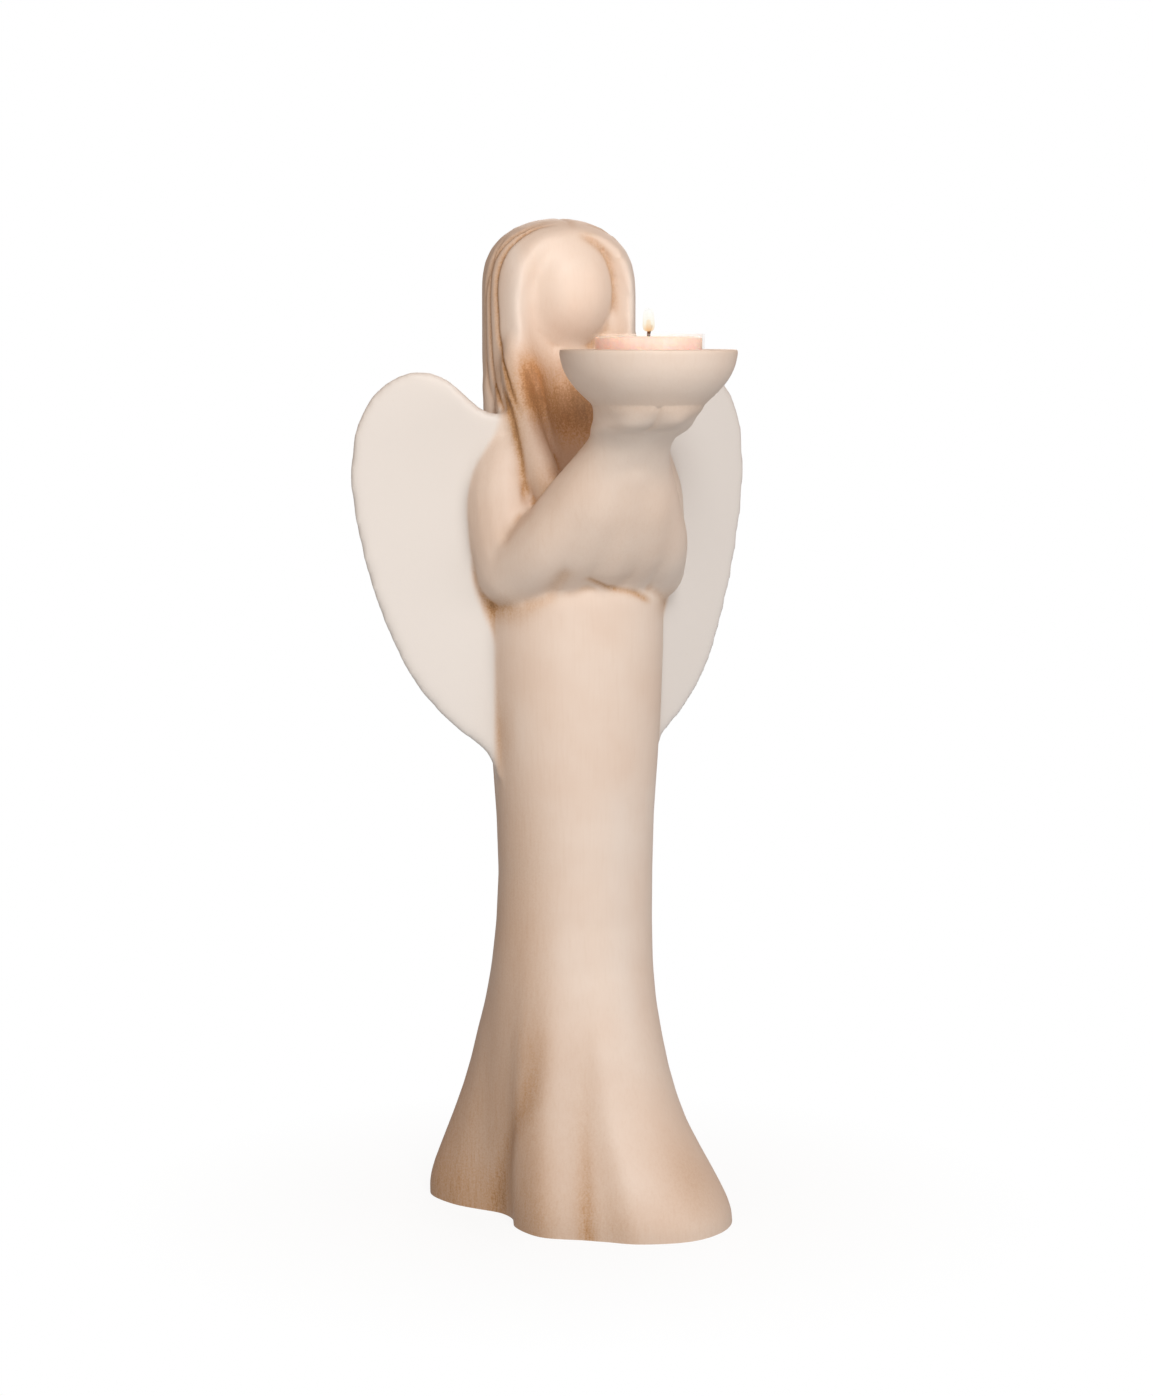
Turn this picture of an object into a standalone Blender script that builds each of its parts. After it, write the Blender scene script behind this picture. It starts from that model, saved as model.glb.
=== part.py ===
"""Angel candle holder: a hollow ceramic figure that holds up a bowl with a tealight.

Metres, +Z up. The figure faces -Y, +X is its own left, the origin lies on the floor
under the axis of the gown. Sizes are named here in millimetres.
"""
import math

import bmesh
import bpy
from mathutils import Matrix, Vector
from mathutils.geometry import interpolate_bezier

MM = 0.001

# Overall sizes, and the (span, height) that the tables below are drawn at
FIGURE_HEIGHT = 357.3
FIGURE_SPAN = 159.3
DRAWN_AT = (159.3, 357.3)

# Gown: an oval column that flares into a folded hem.
HEM_FOLDS = (
    # (x, y) of the hem where each fold turns, walked counter-clockwise
    (46.0, -25.0),
    (42.5, -43.0),
    (32.0, -56.0),
    (16.5, -61.8),
    (-1.0, -57.5),
    (-11.0, -49.5),
    (-18.5, -43.5),
    (-29.5, -34.5),
    (-32.5, -20.0),
    (-29.0, -8.5),
    (-32.5, 2.5),
    (-41.0, 17.0),
    (-43.3, 33.5),
    (-34.0, 44.5),
    (-20.0, 42.0),
    (-4.0, 34.0),
    (12.0, 37.0),
    (30.0, 43.0),
    (43.0, 33.0),
    (42.0, 14.0),
    (39.0, -4.0),
)
# height, half width, half depth, share of the hem shape, sway to the side, centre back
GOWN_LEVELS = (
    (-6.0, 28.5, 22.5, 1.000, 0.0, 0.0),
    (4.0, 28.5, 22.5, 0.995, -0.6, 0.0),
    (10.0, 28.5, 22.5, 0.940, -1.2, 0.0),
    (20.3, 28.5, 22.5, 0.790, -2.0, 0.0),
    (34.1, 28.5, 22.5, 0.580, -3.0, 0.0),
    (48.7, 28.5, 22.5, 0.410, -3.0, 0.0),
    (64.0, 28.6, 22.6, 0.280, -2.8, 0.0),
    (80.4, 28.8, 22.8, 0.145, -2.0, 0.0),
    (98.7, 28.8, 23.0, 0.050, -0.9, 0.0),
    (119.0, 28.6, 23.2, 0.010, 0.0, 0.0),
    (141.2, 29.2, 23.5, 0.0, 0.0, 0.0),
    (163.3, 30.8, 24.0, 0.0, 0.0, 0.0),
    (185.3, 32.2, 24.4, 0.0, 0.0, 0.0),
    (207.2, 33.0, 24.6, 0.0, 0.0, 0.0),
    (225.1, 33.0, 24.0, 0.0, 0.0, 0.0),
    (244.9, 32.0, 21.5, 0.0, 0.0, 1.0),
    (264.5, 29.0, 17.5, 0.0, 0.0, 4.0),
    (276.3, 23.0, 14.0, 0.0, 0.0, 7.0),
    (286.1, 15.0, 11.5, 0.0, 0.0, 9.0),
    (297.7, 11.0, 10.5, 0.0, 0.0, 10.0),
    (311.4, 10.5, 10.5, 0.0, 0.0, 11.0),
)
WALL = 6.0
CAVITY_FLOOR = 7.0
CAVITY_TOP = 270.4
VENT_RADIUS = 7.0
VENT_Y = 16.0

# Head and hair: the face lies in an opening of the hair
HEAD_Y = 14.0
CROWN_Z = DRAWN_AT[1]
DOME_BASE_Z = CROWN_Z - 26.6
HAIR_HALF_WIDTH = 28.1
HAIR_HALF_DEPTH = 24.6
HAIR_END_Z = CROWN_Z - 118.4
FACE_CENTRE_Y = 7.5
FACE_CENTRE_Z = CROWN_Z - 25.1
FACE_HALF_WIDTH = 17.0
FACE_HALF_DEPTH = 14.0
FACE_HALF_HEIGHT = 21.4
HOLLOW_CENTRE_Y = -12.0
HOLLOW_CENTRE_Z = CROWN_Z - 32.0
HOLLOW_HALF_WIDTH = 25.0
HOLLOW_HALF_DEPTH = 20.0
HOLLOW_HALF_HEIGHT = 31.0

# The neck, open between the locks: (out, y, down from the crown, radius)
NECK_OPENING = (
    (0.0, -12.0, 30.0, 16.0),
    (0.0, -14.0, 52.0, 18.5),
    (0.0, -17.5, 74.0, 16.5),
    (0.0, -23.0, 98.0, 12.0),
)

# Locks that leave the hair at the shoulder: (out, y, down from the crown, radius)
FRONT_LOCK = (
    (21.0, 5.0, 38.0, 3.5),
    (22.8, 1.2, 52.0, 5.2),
    (22.2, -3.0, 66.0, 5.4),
    (20.8, -7.0, 78.0, 5.6),
    (18.6, -12.0, 89.0, 6.0),
    (16.6, -17.5, 102.0, 4.4),
)
MIDDLE_LOCK = (
    (22.8, 8.0, 44.0, 3.4),
    (23.6, 6.0, 60.0, 4.6),
    (24.4, 2.0, 72.0, 4.6),
    (21.6, -6.0, 87.0, 3.6),
    (18.4, -12.0, 98.7, 2.0),
)
BACK_LOCK = (
    (22.0, 18.0, 44.0, 5.0),
    (22.6, 16.0, 60.0, 6.2),
    (24.4, 11.5, 74.0, 5.4),
    (22.0, 9.0, 87.0, 3.0),
)

# Sleeves and hands: (out, y, height, radius), mirrored for the other arm
UPPER_ARM = (
    (18.0, 7.0, 283.1, 7.0),
    (24.5, 4.0, 274.3, 11.4),
    (28.0, 1.5, 260.6, 13.6),
    (28.0, -1.5, 245.8, 13.4),
    (26.6, -5.5, 233.0, 13.0),
)
FOREARM = (
    (26.6, -5.5, 233.0, 13.0),
    (20.5, -20.0, 243.4, 12.8),
    (12.5, -31.0, 258.6, 12.2),
    (6.8, -39.5, 271.9, 10.4),
    (4.0, -45.0, 278.2, 10.0),
)
SLEEVE_SIDE = (
    (12.0, -14.0, 236.5, 13.0),
    (11.0, -24.0, 246.0, 14.0),
    (8.0, -32.5, 258.0, 13.6),
    (4.5, -39.5, 270.0, 11.0),
)
SLEEVE_FRONT = (
    (0.0, -8.0, 238.9, 16.0),
    (0.0, -20.5, 245.8, 17.6),
    (0.0, -32.0, 259.6, 15.0),
    (0.0, -40.0, 271.4, 12.0),
)
SLEEVE_FOLD_CENTRE = (0.0, -15.5, 243.9)
SLEEVE_FOLD_HALVES = (32.0, 22.0, 17.0)
SLEEVE_FOLD_TILT_DEG = -38.0
HAND_LEVELS = (
    # height, centre, radius
    (264.5, -34.0, 10.0),
    (269.4, -37.4, 13.0),
    (274.3, -40.6, 14.0),
    (278.0, -43.0, 14.4),
    (281.0, -46.0, 14.8),
    (284.4, -51.0, 15.7),
    (287.5, -54.4, 16.9),
    (290.4, -56.4, 18.0),
    (294.0, -57.6, 18.2),
)
PALM_CENTRE = (8.0, -53.8, 285.8)
PALM_HALVES = (8.9, 16.6, 5.2)
PALM_TILT_DEG = -12.0

# Wings: flat plates swept back from the shoulders
WING_THICKNESS = 4.2
WING_SWEEP_DEG = 24.3
WING_ROOT_Y = -14.5
WING_TIP_RANGE = 34.0
RIGHT_TIP_LIFT = -1.4
LEFT_TIP_LIFT = 3.4
WING_OUTLINE = (
    # distance out from the middle, height
    (20.0, 284.1),
    (38.9, 290.3),
    (45.7, 296.0),
    (51.8, 301.0),
    (60.7, 303.4),
    (71.4, 300.1),
    (81.2, 288.4),
    (85.2, 269.4),
    (82.5, 244.9),
    (77.7, 226.3),
    (71.0, 208.2),
    (62.2, 191.9),
    (51.6, 179.9),
    (43.1, 173.1),
    (37.6, 168.5),
    (33.4, 160.3),
    (26.0, 151.2),
    (15.0, 173.3),
    (14.0, 233.0),
)

# Bowl
BOWL_Y = -58.4
RIM_Z = 0.8704 * FIGURE_HEIGHT
RIM_RADIUS = 30.1
RIM_WIDTH = 2.6
SEAT_DEPTH = 11.0
SEAT_RADIUS = 20.6
BOWL_FOOT_Z = RIM_Z - 22.0
BOWL_FOOT_RADIUS = 13.0
BOWL_WALL = (
    # in from the rim's edge, down from the rim
    (0.0, 0.6),
    (0.15, 2.6),
    (1.1, 6.2),
    (2.9, 9.8),
    (5.7, 13.4),
    (9.4, 17.0),
    (11.8, 19.2),
    (14.4, 20.6),
)
# The clay runs on under the bowl and hollows into the hands: radius, down from the rim
COLLAR = (
    (14.0, 16.6),
    (17.4, 17.9),
    (18.8, 19.4),
    (18.2, 20.6),
    (16.6, 22.2),
    (14.6, 24.0),
    (12.4, 25.6),
    (9.0, 27.0),
)

# Tealight: a standard one, 38 mm across
CUP_RADIUS = 19.0
CUP_HEIGHT = 16.0
CUP_WALL = 0.6
FIT_GAP = 0.3
WAX_DROP = 0.9
WICK_RADIUS = 0.65
WICK_STAND = 3.8
TAB_RADIUS = 6.0
TAB_THICKNESS = 0.5

# Mesh fineness of the casting
BLEND_VOXEL = 1.5
BLEND_PASSES = 7
CASTING_TRIANGLES = 9400


def clear_scene():
    for obj in list(bpy.data.objects):
        bpy.data.objects.remove(obj, do_unlink=True)


def collection(name):
    coll = bpy.data.collections.new(name)
    bpy.context.scene.collection.children.link(coll)
    return coll


def material(name, colour, roughness, metallic=0.0, alpha=1.0):
    mat = bpy.data.materials.new(name)
    mat.use_nodes = True
    shader = mat.node_tree.nodes["Principled BSDF"]
    shader.inputs["Base Color"].default_value = (*colour, 1.0)
    shader.inputs["Roughness"].default_value = roughness
    shader.inputs["Metallic"].default_value = metallic
    shader.inputs["Alpha"].default_value = alpha
    return mat


def add_object(name, mesh, coll):
    obj = bpy.data.objects.new(name, mesh)
    coll.objects.link(obj)
    return obj


def mesh_from(bm, name):
    mesh = bpy.data.meshes.new(name)
    bmesh.ops.recalc_face_normals(bm, faces=bm.faces[:])
    bm.to_mesh(mesh)
    bm.free()
    return mesh


def evaluated_mesh(obj, name):
    """The object's final shape as a plain mesh in world space; the object goes."""
    bpy.context.view_layer.update()
    graph = bpy.context.evaluated_depsgraph_get()
    mesh = bpy.data.meshes.new_from_object(obj.evaluated_get(graph))
    mesh.transform(obj.matrix_world)
    mesh.name = name
    bpy.data.objects.remove(obj, do_unlink=True)
    return mesh


def eased(levels, height, column):
    """Smooth value of one column between named levels."""
    if height <= levels[0][0]:
        return levels[0][column]
    for low, high in zip(levels, levels[1:]):
        if height <= high[0]:
            at = levels.index(low)
            before = levels[max(at - 1, 0)]
            after = levels[min(at + 2, len(levels) - 1)]
            span = high[0] - low[0]
            t = (height - low[0]) / span
            m0 = (high[column] - before[column]) / (high[0] - before[0]) * span
            m1 = (after[column] - low[column]) / (after[0] - low[0]) * span
            h00 = 2 * t ** 3 - 3 * t ** 2 + 1
            h10 = t ** 3 - 2 * t ** 2 + t
            h01 = -2 * t ** 3 + 3 * t ** 2
            h11 = t ** 3 - t ** 2
            return h00 * low[column] + h10 * m0 + h01 * high[column] + h11 * m1
    return levels[-1][column]


def closed_curve(points, per_side):
    """Points of a closed curve with automatic handles through the given ones."""
    count = len(points)
    knots = [Vector((p[0], p[1], 0.0)) for p in points]
    out = []
    for i in range(count):
        before, a, b, after = knots[i - 1], knots[i], knots[(i + 1) % count], knots[(i + 2) % count]
        handle_a = a + (b - before) / 6.0
        handle_b = b - (after - a) / 6.0
        run = interpolate_bezier(a, handle_a, handle_b, b, per_side + 1)
        out.extend(run[:-1])
    return out


def gown_ring(height, per_side, inset=0.0):
    """One level of the gown: an oval that turns into the folded hem."""
    half_w = eased(GOWN_LEVELS, height, 1)
    half_d = eased(GOWN_LEVELS, height, 2)
    share = max(0.0, min(1.0, eased(GOWN_LEVELS, height, 3)))
    sway = eased(GOWN_LEVELS, height, 4)
    back = eased(GOWN_LEVELS, height, 5)
    ring = []
    for point in closed_curve(HEM_FOLDS, per_side):
        angle = math.atan2(point.y, point.x)
        reach = 1.0 / math.hypot(math.cos(angle) / half_w, math.sin(angle) / half_d)
        oval = Vector((reach * math.cos(angle), reach * math.sin(angle), 0.0))
        spot = oval.lerp(point, share)
        if inset:
            spot = spot * max(0.2, 1.0 - inset / spot.length)
        ring.append(Vector((spot.x + sway, spot.y + back, height)))
    return ring


def loft(rings, name):
    """A closed body through rings of equal count, flat at both ends."""
    bm = bmesh.new()
    rows = [[bm.verts.new(p * MM) for p in ring] for ring in rings]
    for low, high in zip(rows, rows[1:]):
        for i in range(len(low)):
            j = (i + 1) % len(low)
            bm.faces.new((low[i], low[j], high[j], high[i]))
    bm.faces.new(rows[0][::-1])
    bm.faces.new(rows[-1])
    bmesh.ops.triangulate(bm, faces=[f for f in bm.faces if len(f.verts) > 4])
    return mesh_from(bm, name)


def limb(path, name, squash=1.0):
    """A round limb through (x, y, z, radius) points, as a closed mesh."""
    curve = bpy.data.curves.new(name, "CURVE")
    curve.dimensions = "3D"
    curve.resolution_u = 8
    curve.bevel_depth = MM
    curve.bevel_resolution = 6
    curve.use_fill_caps = True
    spline = curve.splines.new("BEZIER")
    spline.bezier_points.add(len(path) - 1)
    for point, (x, y, z, radius) in zip(spline.bezier_points, path):
        point.co = Vector((x, y, z)) * MM
        point.handle_left_type = "AUTO"
        point.handle_right_type = "AUTO"
        point.radius = radius
    obj = add_object(name, curve, bpy.context.scene.collection)
    mesh = evaluated_mesh(obj, name)
    bm = bmesh.new()
    bm.from_mesh(mesh)
    bmesh.ops.remove_doubles(bm, verts=bm.verts[:], dist=1e-6)
    for end in (path[0], path[-1]):
        centre = Vector(end[:3]) * MM
        bmesh.ops.create_icosphere(
            bm, subdivisions=3, radius=end[3] * MM * 0.995, matrix=Matrix.Translation(centre)
        )
    return mesh_from(bm, name)


def ball(centre, halves, name, tilt=0.0):
    """An egg shape with the given half sizes, tilted about X."""
    bm = bmesh.new()
    place = Matrix.Translation(Vector(centre) * MM) @ Matrix.Rotation(math.radians(tilt), 4, "X")
    scale = Matrix.Diagonal((halves[0] * MM, halves[1] * MM, halves[2] * MM, 1.0))
    bmesh.ops.create_icosphere(bm, subdivisions=4, radius=1.0, matrix=place @ scale)
    return mesh_from(bm, name)


def mirrored(path, side):
    return [(side * x, y, z, radius) for x, y, z, radius in path]


def hair_halves(height):
    """Half width and half depth of the hair at a height."""
    rise = max(0.0, (height - DOME_BASE_Z) / (CROWN_Z - DOME_BASE_Z))
    dome = math.sqrt(max(0.0, 1.0 - rise ** 2.7))
    fall = max(0.0, (300.0 - height) / (300.0 - HAIR_END_Z))
    width = HAIR_HALF_WIDTH * dome * (1.0 - 0.18 * fall)
    depth = HAIR_HALF_DEPTH * dome * (1.0 - 0.30 * fall)
    return width, depth


def hair_centre(height):
    """How far back the middle of the hair lies at a height."""
    rise = max(0.0, (height - DOME_BASE_Z) / (CROWN_Z - DOME_BASE_Z))
    fall = max(0.0, (300.0 - height) / (300.0 - HAIR_END_Z))
    return HEAD_Y + 1.0 * rise - 5.4 * fall


def hair_body():
    levels = [HAIR_END_Z + (DOME_BASE_Z - HAIR_END_Z) * i / 8.0 for i in range(9)]
    for turn_deg in range(12, 85, 12):
        levels.append(DOME_BASE_Z + (CROWN_Z - DOME_BASE_Z) * math.sin(math.radians(turn_deg)))
    rings = []
    for height in levels:
        width, depth = hair_halves(height)
        ring = []
        for i in range(64):
            turn = 2.0 * math.pi * i / 64
            y = hair_centre(height) + depth * math.sin(turn)
            spot = Vector((width * math.cos(turn), y, height))
            ring.append(spot)
        rings.append(ring)
    return loft(rings, "hair_body")


def face_hollow():
    """The spaces in front of the face and the neck, between the two falls of hair."""
    centre = (0.0, HOLLOW_CENTRE_Y, HOLLOW_CENTRE_Z)
    opening = ball(centre, (HOLLOW_HALF_WIDTH, HOLLOW_HALF_DEPTH, HOLLOW_HALF_HEIGHT), "opening")
    path = [(x, y, CROWN_Z - down, radius) for x, y, down, radius in NECK_OPENING]
    return opening, limb(path, "neck_opening")


def side_locks(side):
    """The locks of one side, as limb paths."""
    locks = []
    for lock in (FRONT_LOCK, MIDDLE_LOCK, BACK_LOCK):
        locks.append([(side * x, y, CROWN_Z - down, radius) for x, y, down, radius in lock])
    return locks


def hands():
    """Both hands under the bowl: a cupped core that leans back into the wrists, and palms."""
    rings = []
    for height, centre, radius in HAND_LEVELS:
        ring = []
        for i in range(48):
            turn = 2.0 * math.pi * i / 48
            ring.append(Vector((radius * math.cos(turn), centre + radius * math.sin(turn), height)))
        rings.append(ring)
    forms = [loft(rings, "hands")]
    x, y, z = PALM_CENTRE
    for side in (-1.0, 1.0):
        forms.append(ball((side * x, y, z), PALM_HALVES, "palm", PALM_TILT_DEG))
    return forms


def sleeves():
    """The loose front of the sleeves, drawn into one mass from elbow to elbow."""
    forms = [limb(SLEEVE_FRONT, "sleeve_front")]
    forms.append(ball(SLEEVE_FOLD_CENTRE, SLEEVE_FOLD_HALVES, "sleeve_fold", SLEEVE_FOLD_TILT_DEG))
    for side in (-1.0, 1.0):
        forms.append(limb(mirrored(SLEEVE_SIDE, side), "sleeve_side"))
    return forms


def wing(side):
    """A flat wing plate with rounded edges, upright and swept back."""
    curve = bpy.data.curves.new("wing_outline", "CURVE")
    curve.dimensions = "2D"
    curve.fill_mode = "BOTH"
    curve.resolution_u = 6
    curve.extrude = WING_THICKNESS * MM / 2.0
    spline = curve.splines.new("BEZIER")
    spline.bezier_points.add(len(WING_OUTLINE) - 1)
    lowest = min(height for out, height in WING_OUTLINE)
    lift = LEFT_TIP_LIFT if side > 0.0 else RIGHT_TIP_LIFT
    for point, (out, height) in zip(spline.bezier_points, WING_OUTLINE):
        raised = height + lift * max(0.0, 1.0 - (height - lowest) / WING_TIP_RANGE)
        point.co = (out * MM, raised * MM, 0.0)
        point.handle_left_type = "AUTO"
        point.handle_right_type = "AUTO"
    spline.use_cyclic_u = True
    obj = add_object("wing_outline", curve, bpy.context.scene.collection)
    upright = Matrix.Rotation(math.radians(90.0), 4, "X")
    sweep = Matrix.Rotation(math.radians(WING_SWEEP_DEG), 4, "Z")
    flip = Matrix.Diagonal((side, 1.0, 1.0, 1.0))
    root = Matrix.Translation((0.0, WING_ROOT_Y * MM, 0.0))
    mesh = evaluated_mesh(obj, "wing")
    mesh.transform(flip @ root @ sweep @ upright)
    bm = bmesh.new()
    bm.from_mesh(mesh)
    bmesh.ops.remove_doubles(bm, verts=bm.verts[:], dist=1e-6)
    return mesh_from(bm, "wing")


def boolean(obj, cutter, operation):
    mod = obj.modifiers.new(operation.lower(), "BOOLEAN")
    mod.operation = operation
    mod.solver = "EXACT"
    mod.object = cutter
    mesh = evaluated_copy(obj)
    obj.modifiers.clear()
    old = obj.data
    obj.data = mesh
    bpy.data.meshes.remove(old)


def evaluated_copy(obj):
    bpy.context.view_layer.update()
    graph = bpy.context.evaluated_depsgraph_get()
    return bpy.data.meshes.new_from_object(obj.evaluated_get(graph))


def merged(meshes, name):
    bm = bmesh.new()
    for mesh in meshes:
        bm.from_mesh(mesh)
    return mesh_from(bm, name)


def turned(profile, name, coll, steps=64):
    """A turned body from (radius, height) points that run from top to bottom."""
    bm = bmesh.new()
    verts = [bm.verts.new((r * MM, 0.0, z * MM)) for r, z in profile]
    for a, b in zip(verts, verts[1:]):
        bm.edges.new((a, b))
    mesh = bpy.data.meshes.new(name)
    bm.to_mesh(mesh)
    bm.free()
    obj = add_object(name, mesh, coll)
    mod = obj.modifiers.new("turn", "SCREW")
    mod.axis = "Z"
    mod.steps = steps
    mod.render_steps = steps
    mod.use_merge_vertices = True
    mod.merge_threshold = 0.00001
    return obj


def growth():
    """From the sizes that the tables are drawn at to the overall sizes."""
    return Matrix.Diagonal((FIGURE_SPAN / DRAWN_AT[0], 1.0, FIGURE_HEIGHT / DRAWN_AT[1], 1.0))


def casting_blend():
    """Gown, arms, hair and wings run together into one soft mass."""
    heights = [-6, 0, 4, 8, 13, 19, 26, 34, 43, 53, 64, 76, 90, 106, 124, 144, 164, 184, 204, 222, 240]
    heights += [252, 262, 268, 274, 279, 284, 290, 296, 303, 310]
    gown = loft([gown_ring(float(h), 6) for h in heights], "gown")
    parts = [gown]
    parts.append(hair_with_hollow())
    face = ball(
        (0.0, FACE_CENTRE_Y, FACE_CENTRE_Z),
        (FACE_HALF_WIDTH, FACE_HALF_DEPTH, FACE_HALF_HEIGHT),
        "face",
    )
    parts.append(face)
    for side in (-1.0, 1.0):
        parts.append(limb(mirrored(UPPER_ARM, side), "upper_arm"))
        parts.append(limb(mirrored(FOREARM, side), "forearm"))
        parts.append(wing(side))
        for path in side_locks(side):
            parts.append(limb(path, "lock"))
    parts.extend(sleeves())
    parts.extend(hands())
    mesh = merged(parts, "casting_blend")
    mesh.transform(growth())
    mesh = merged([mesh, collar()], "casting_blend")
    return mesh


def hair_with_hollow():
    hair = add_object("hair_body", hair_body(), bpy.context.scene.collection)
    for mesh in face_hollow():
        hollow = add_object("face_hollow", mesh, bpy.context.scene.collection)
        boolean(hair, hollow, "DIFFERENCE")
        bpy.data.objects.remove(hollow, do_unlink=True)
    mesh = hair.data.copy()
    bpy.data.objects.remove(hair, do_unlink=True)
    return mesh


def collar():
    """The clay under the bowl, as a closed turned mesh."""
    profile = [(0.0, RIM_Z - COLLAR[0][1])]
    profile += [(radius, RIM_Z - down) for radius, down in COLLAR]
    profile.append((0.0, RIM_Z - COLLAR[-1][1]))
    obj = turned(profile, "collar", bpy.context.scene.collection)
    obj.location = (0.0, BOWL_Y * MM, 0.0)
    return evaluated_mesh(obj, "collar")


def soften(obj):
    """One skin over the blended forms, eased and brought down to a light mesh."""
    skin = obj.modifiers.new("skin", "REMESH")
    skin.mode = "VOXEL"
    skin.voxel_size = BLEND_VOXEL * MM
    ease = obj.modifiers.new("ease", "SMOOTH")
    ease.factor = 0.5
    ease.iterations = BLEND_PASSES
    mesh = evaluated_copy(obj)
    obj.modifiers.clear()
    obj.data = mesh
    light = obj.modifiers.new("light", "DECIMATE")
    light.ratio = min(1.0, CASTING_TRIANGLES / (2.0 * len(mesh.polygons)))
    obj.data = evaluated_copy(obj)
    obj.modifiers.clear()


def bowl_profile():
    floor = RIM_Z - SEAT_DEPTH
    inner = RIM_RADIUS - RIM_WIDTH
    return (
        (0.0, floor),
        (SEAT_RADIUS, floor),
        (SEAT_RADIUS + 2.6, floor + 0.9),
        (inner - 2.5, floor + 4.0),
        (inner - 0.5, RIM_Z - 2.6),
        (inner, RIM_Z - 0.5),
        (inner + 0.5, RIM_Z),
        (RIM_RADIUS - 0.6, RIM_Z),
        *((RIM_RADIUS - inward, RIM_Z - down) for inward, down in BOWL_WALL),
        (BOWL_FOOT_RADIUS, BOWL_FOOT_Z),
        (0.0, BOWL_FOOT_Z),
    )


def bowl(coll):
    obj = turned(bowl_profile(), "bowl_cutter", coll)
    obj.location = (0.0, BOWL_Y * MM, 0.0)
    return obj


def cavity(coll):
    heights = [CAVITY_FLOOR, 12, 20, 30, 42, 56, 74, 98, 130, 166, 204, 236, 256, CAVITY_TOP]
    rings = []
    for height in heights:
        ring = gown_ring(float(height), 2, WALL)
        near_end = max(0.0, (height - 250.0) / (CAVITY_TOP - 250.0))
        shrink = 1.0 - 0.45 * near_end
        rings.append([Vector((p.x * shrink, p.y * shrink, p.z)) for p in ring])
    mesh = loft(rings, "cavity")
    mesh.transform(growth())
    return add_object("cavity_cutter", mesh, coll)


def vent(coll):
    bm = bmesh.new()
    place = Matrix.Translation((0.0, VENT_Y * MM, 0.0))
    bmesh.ops.create_cone(
        bm, cap_ends=True, segments=24, radius1=VENT_RADIUS * MM, radius2=VENT_RADIUS * MM,
        depth=2.4 * CAVITY_FLOOR * MM, matrix=place,
    )
    return add_object("vent_cutter", mesh_from(bm, "vent"), coll)


def floor_cut(coll):
    bm = bmesh.new()
    place = Matrix.Translation((0.0, 0.0, -20.0 * MM)) @ Matrix.Diagonal((0.3, 0.3, 0.04, 1.0))
    bmesh.ops.create_cube(bm, size=1.0, matrix=place)
    return add_object("floor_cutter", mesh_from(bm, "floor"), coll)


def shade(obj):
    for poly in obj.data.polygons:
        poly.use_smooth = True
    obj.data.set_sharp_from_angle(angle=math.radians(42.0))


def build_figure(coll, cutters):
    obj = add_object("figure", casting_blend(), coll)
    soften(obj)
    steps = (
        (bowl(cutters), "UNION"),
        (floor_cut(cutters), "DIFFERENCE"),
        (cavity(cutters), "DIFFERENCE"),
        (vent(cutters), "DIFFERENCE"),
    )
    for cutter, operation in steps:
        cutter.hide_render = True
        cutter.display_type = "WIRE"
        boolean(obj, cutter, operation)
        cutter.hide_viewport = True
    shade(obj)
    obj.data.materials.clear()
    obj.data.materials.append(material("cream_ceramic", (0.62, 0.47, 0.35), 0.48))
    return obj


def build_cup(coll):
    base = RIM_Z - SEAT_DEPTH + FIT_GAP
    top = base + CUP_HEIGHT
    inner = CUP_RADIUS - CUP_WALL
    profile = (
        (0.0, base + CUP_WALL),
        (inner - 0.8, base + CUP_WALL),
        (inner, base + CUP_WALL + 0.8),
        (inner, top),
        (CUP_RADIUS, top),
        (CUP_RADIUS, base + 0.8),
        (CUP_RADIUS - 0.8, base),
        (0.0, base),
    )
    obj = turned(profile, "tealight_cup", coll, 48)
    obj.location = (0.0, BOWL_Y * MM, 0.0)
    obj.data.materials.append(material("clear_plastic", (0.92, 0.86, 0.80), 0.12, 0.0, 0.35))
    return obj


def wax_levels():
    base = RIM_Z - SEAT_DEPTH + FIT_GAP + CUP_WALL + FIT_GAP
    top = RIM_Z - SEAT_DEPTH + FIT_GAP + CUP_HEIGHT - WAX_DROP
    return base, top


def build_wax(coll):
    base, top = wax_levels()
    outer = CUP_RADIUS - CUP_WALL - FIT_GAP
    hole = WICK_RADIUS + FIT_GAP
    tab_top = base + TAB_THICKNESS + 2.0 * FIT_GAP
    profile = (
        (hole, top - 0.6),
        (5.0, top - 0.5),
        (outer - 3.0, top - 0.3),
        (outer - 0.8, top),
        (outer, top - 0.5),
        (outer, base + 1.0),
        (outer - 1.0, base),
        (TAB_RADIUS + FIT_GAP, base),
        (TAB_RADIUS + FIT_GAP, tab_top),
        (hole, tab_top),
        (hole, top - 0.6),
    )
    obj = turned(profile, "tealight_wax", coll, 48)
    obj.location = (0.0, BOWL_Y * MM, 0.0)
    obj.data.materials.append(material("peach_wax", (0.80, 0.52, 0.36), 0.42))
    return obj


def build_tab(coll):
    base, top = wax_levels()
    profile = (
        (0.0, base + TAB_THICKNESS),
        (TAB_RADIUS, base + TAB_THICKNESS),
        (TAB_RADIUS, base),
        (0.0, base),
    )
    obj = turned(profile, "wick_tab", coll, 32)
    obj.location = (0.0, BOWL_Y * MM, 0.0)
    obj.data.materials.append(material("tinned_steel", (0.58, 0.57, 0.55), 0.32, 1.0))
    return obj


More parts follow.
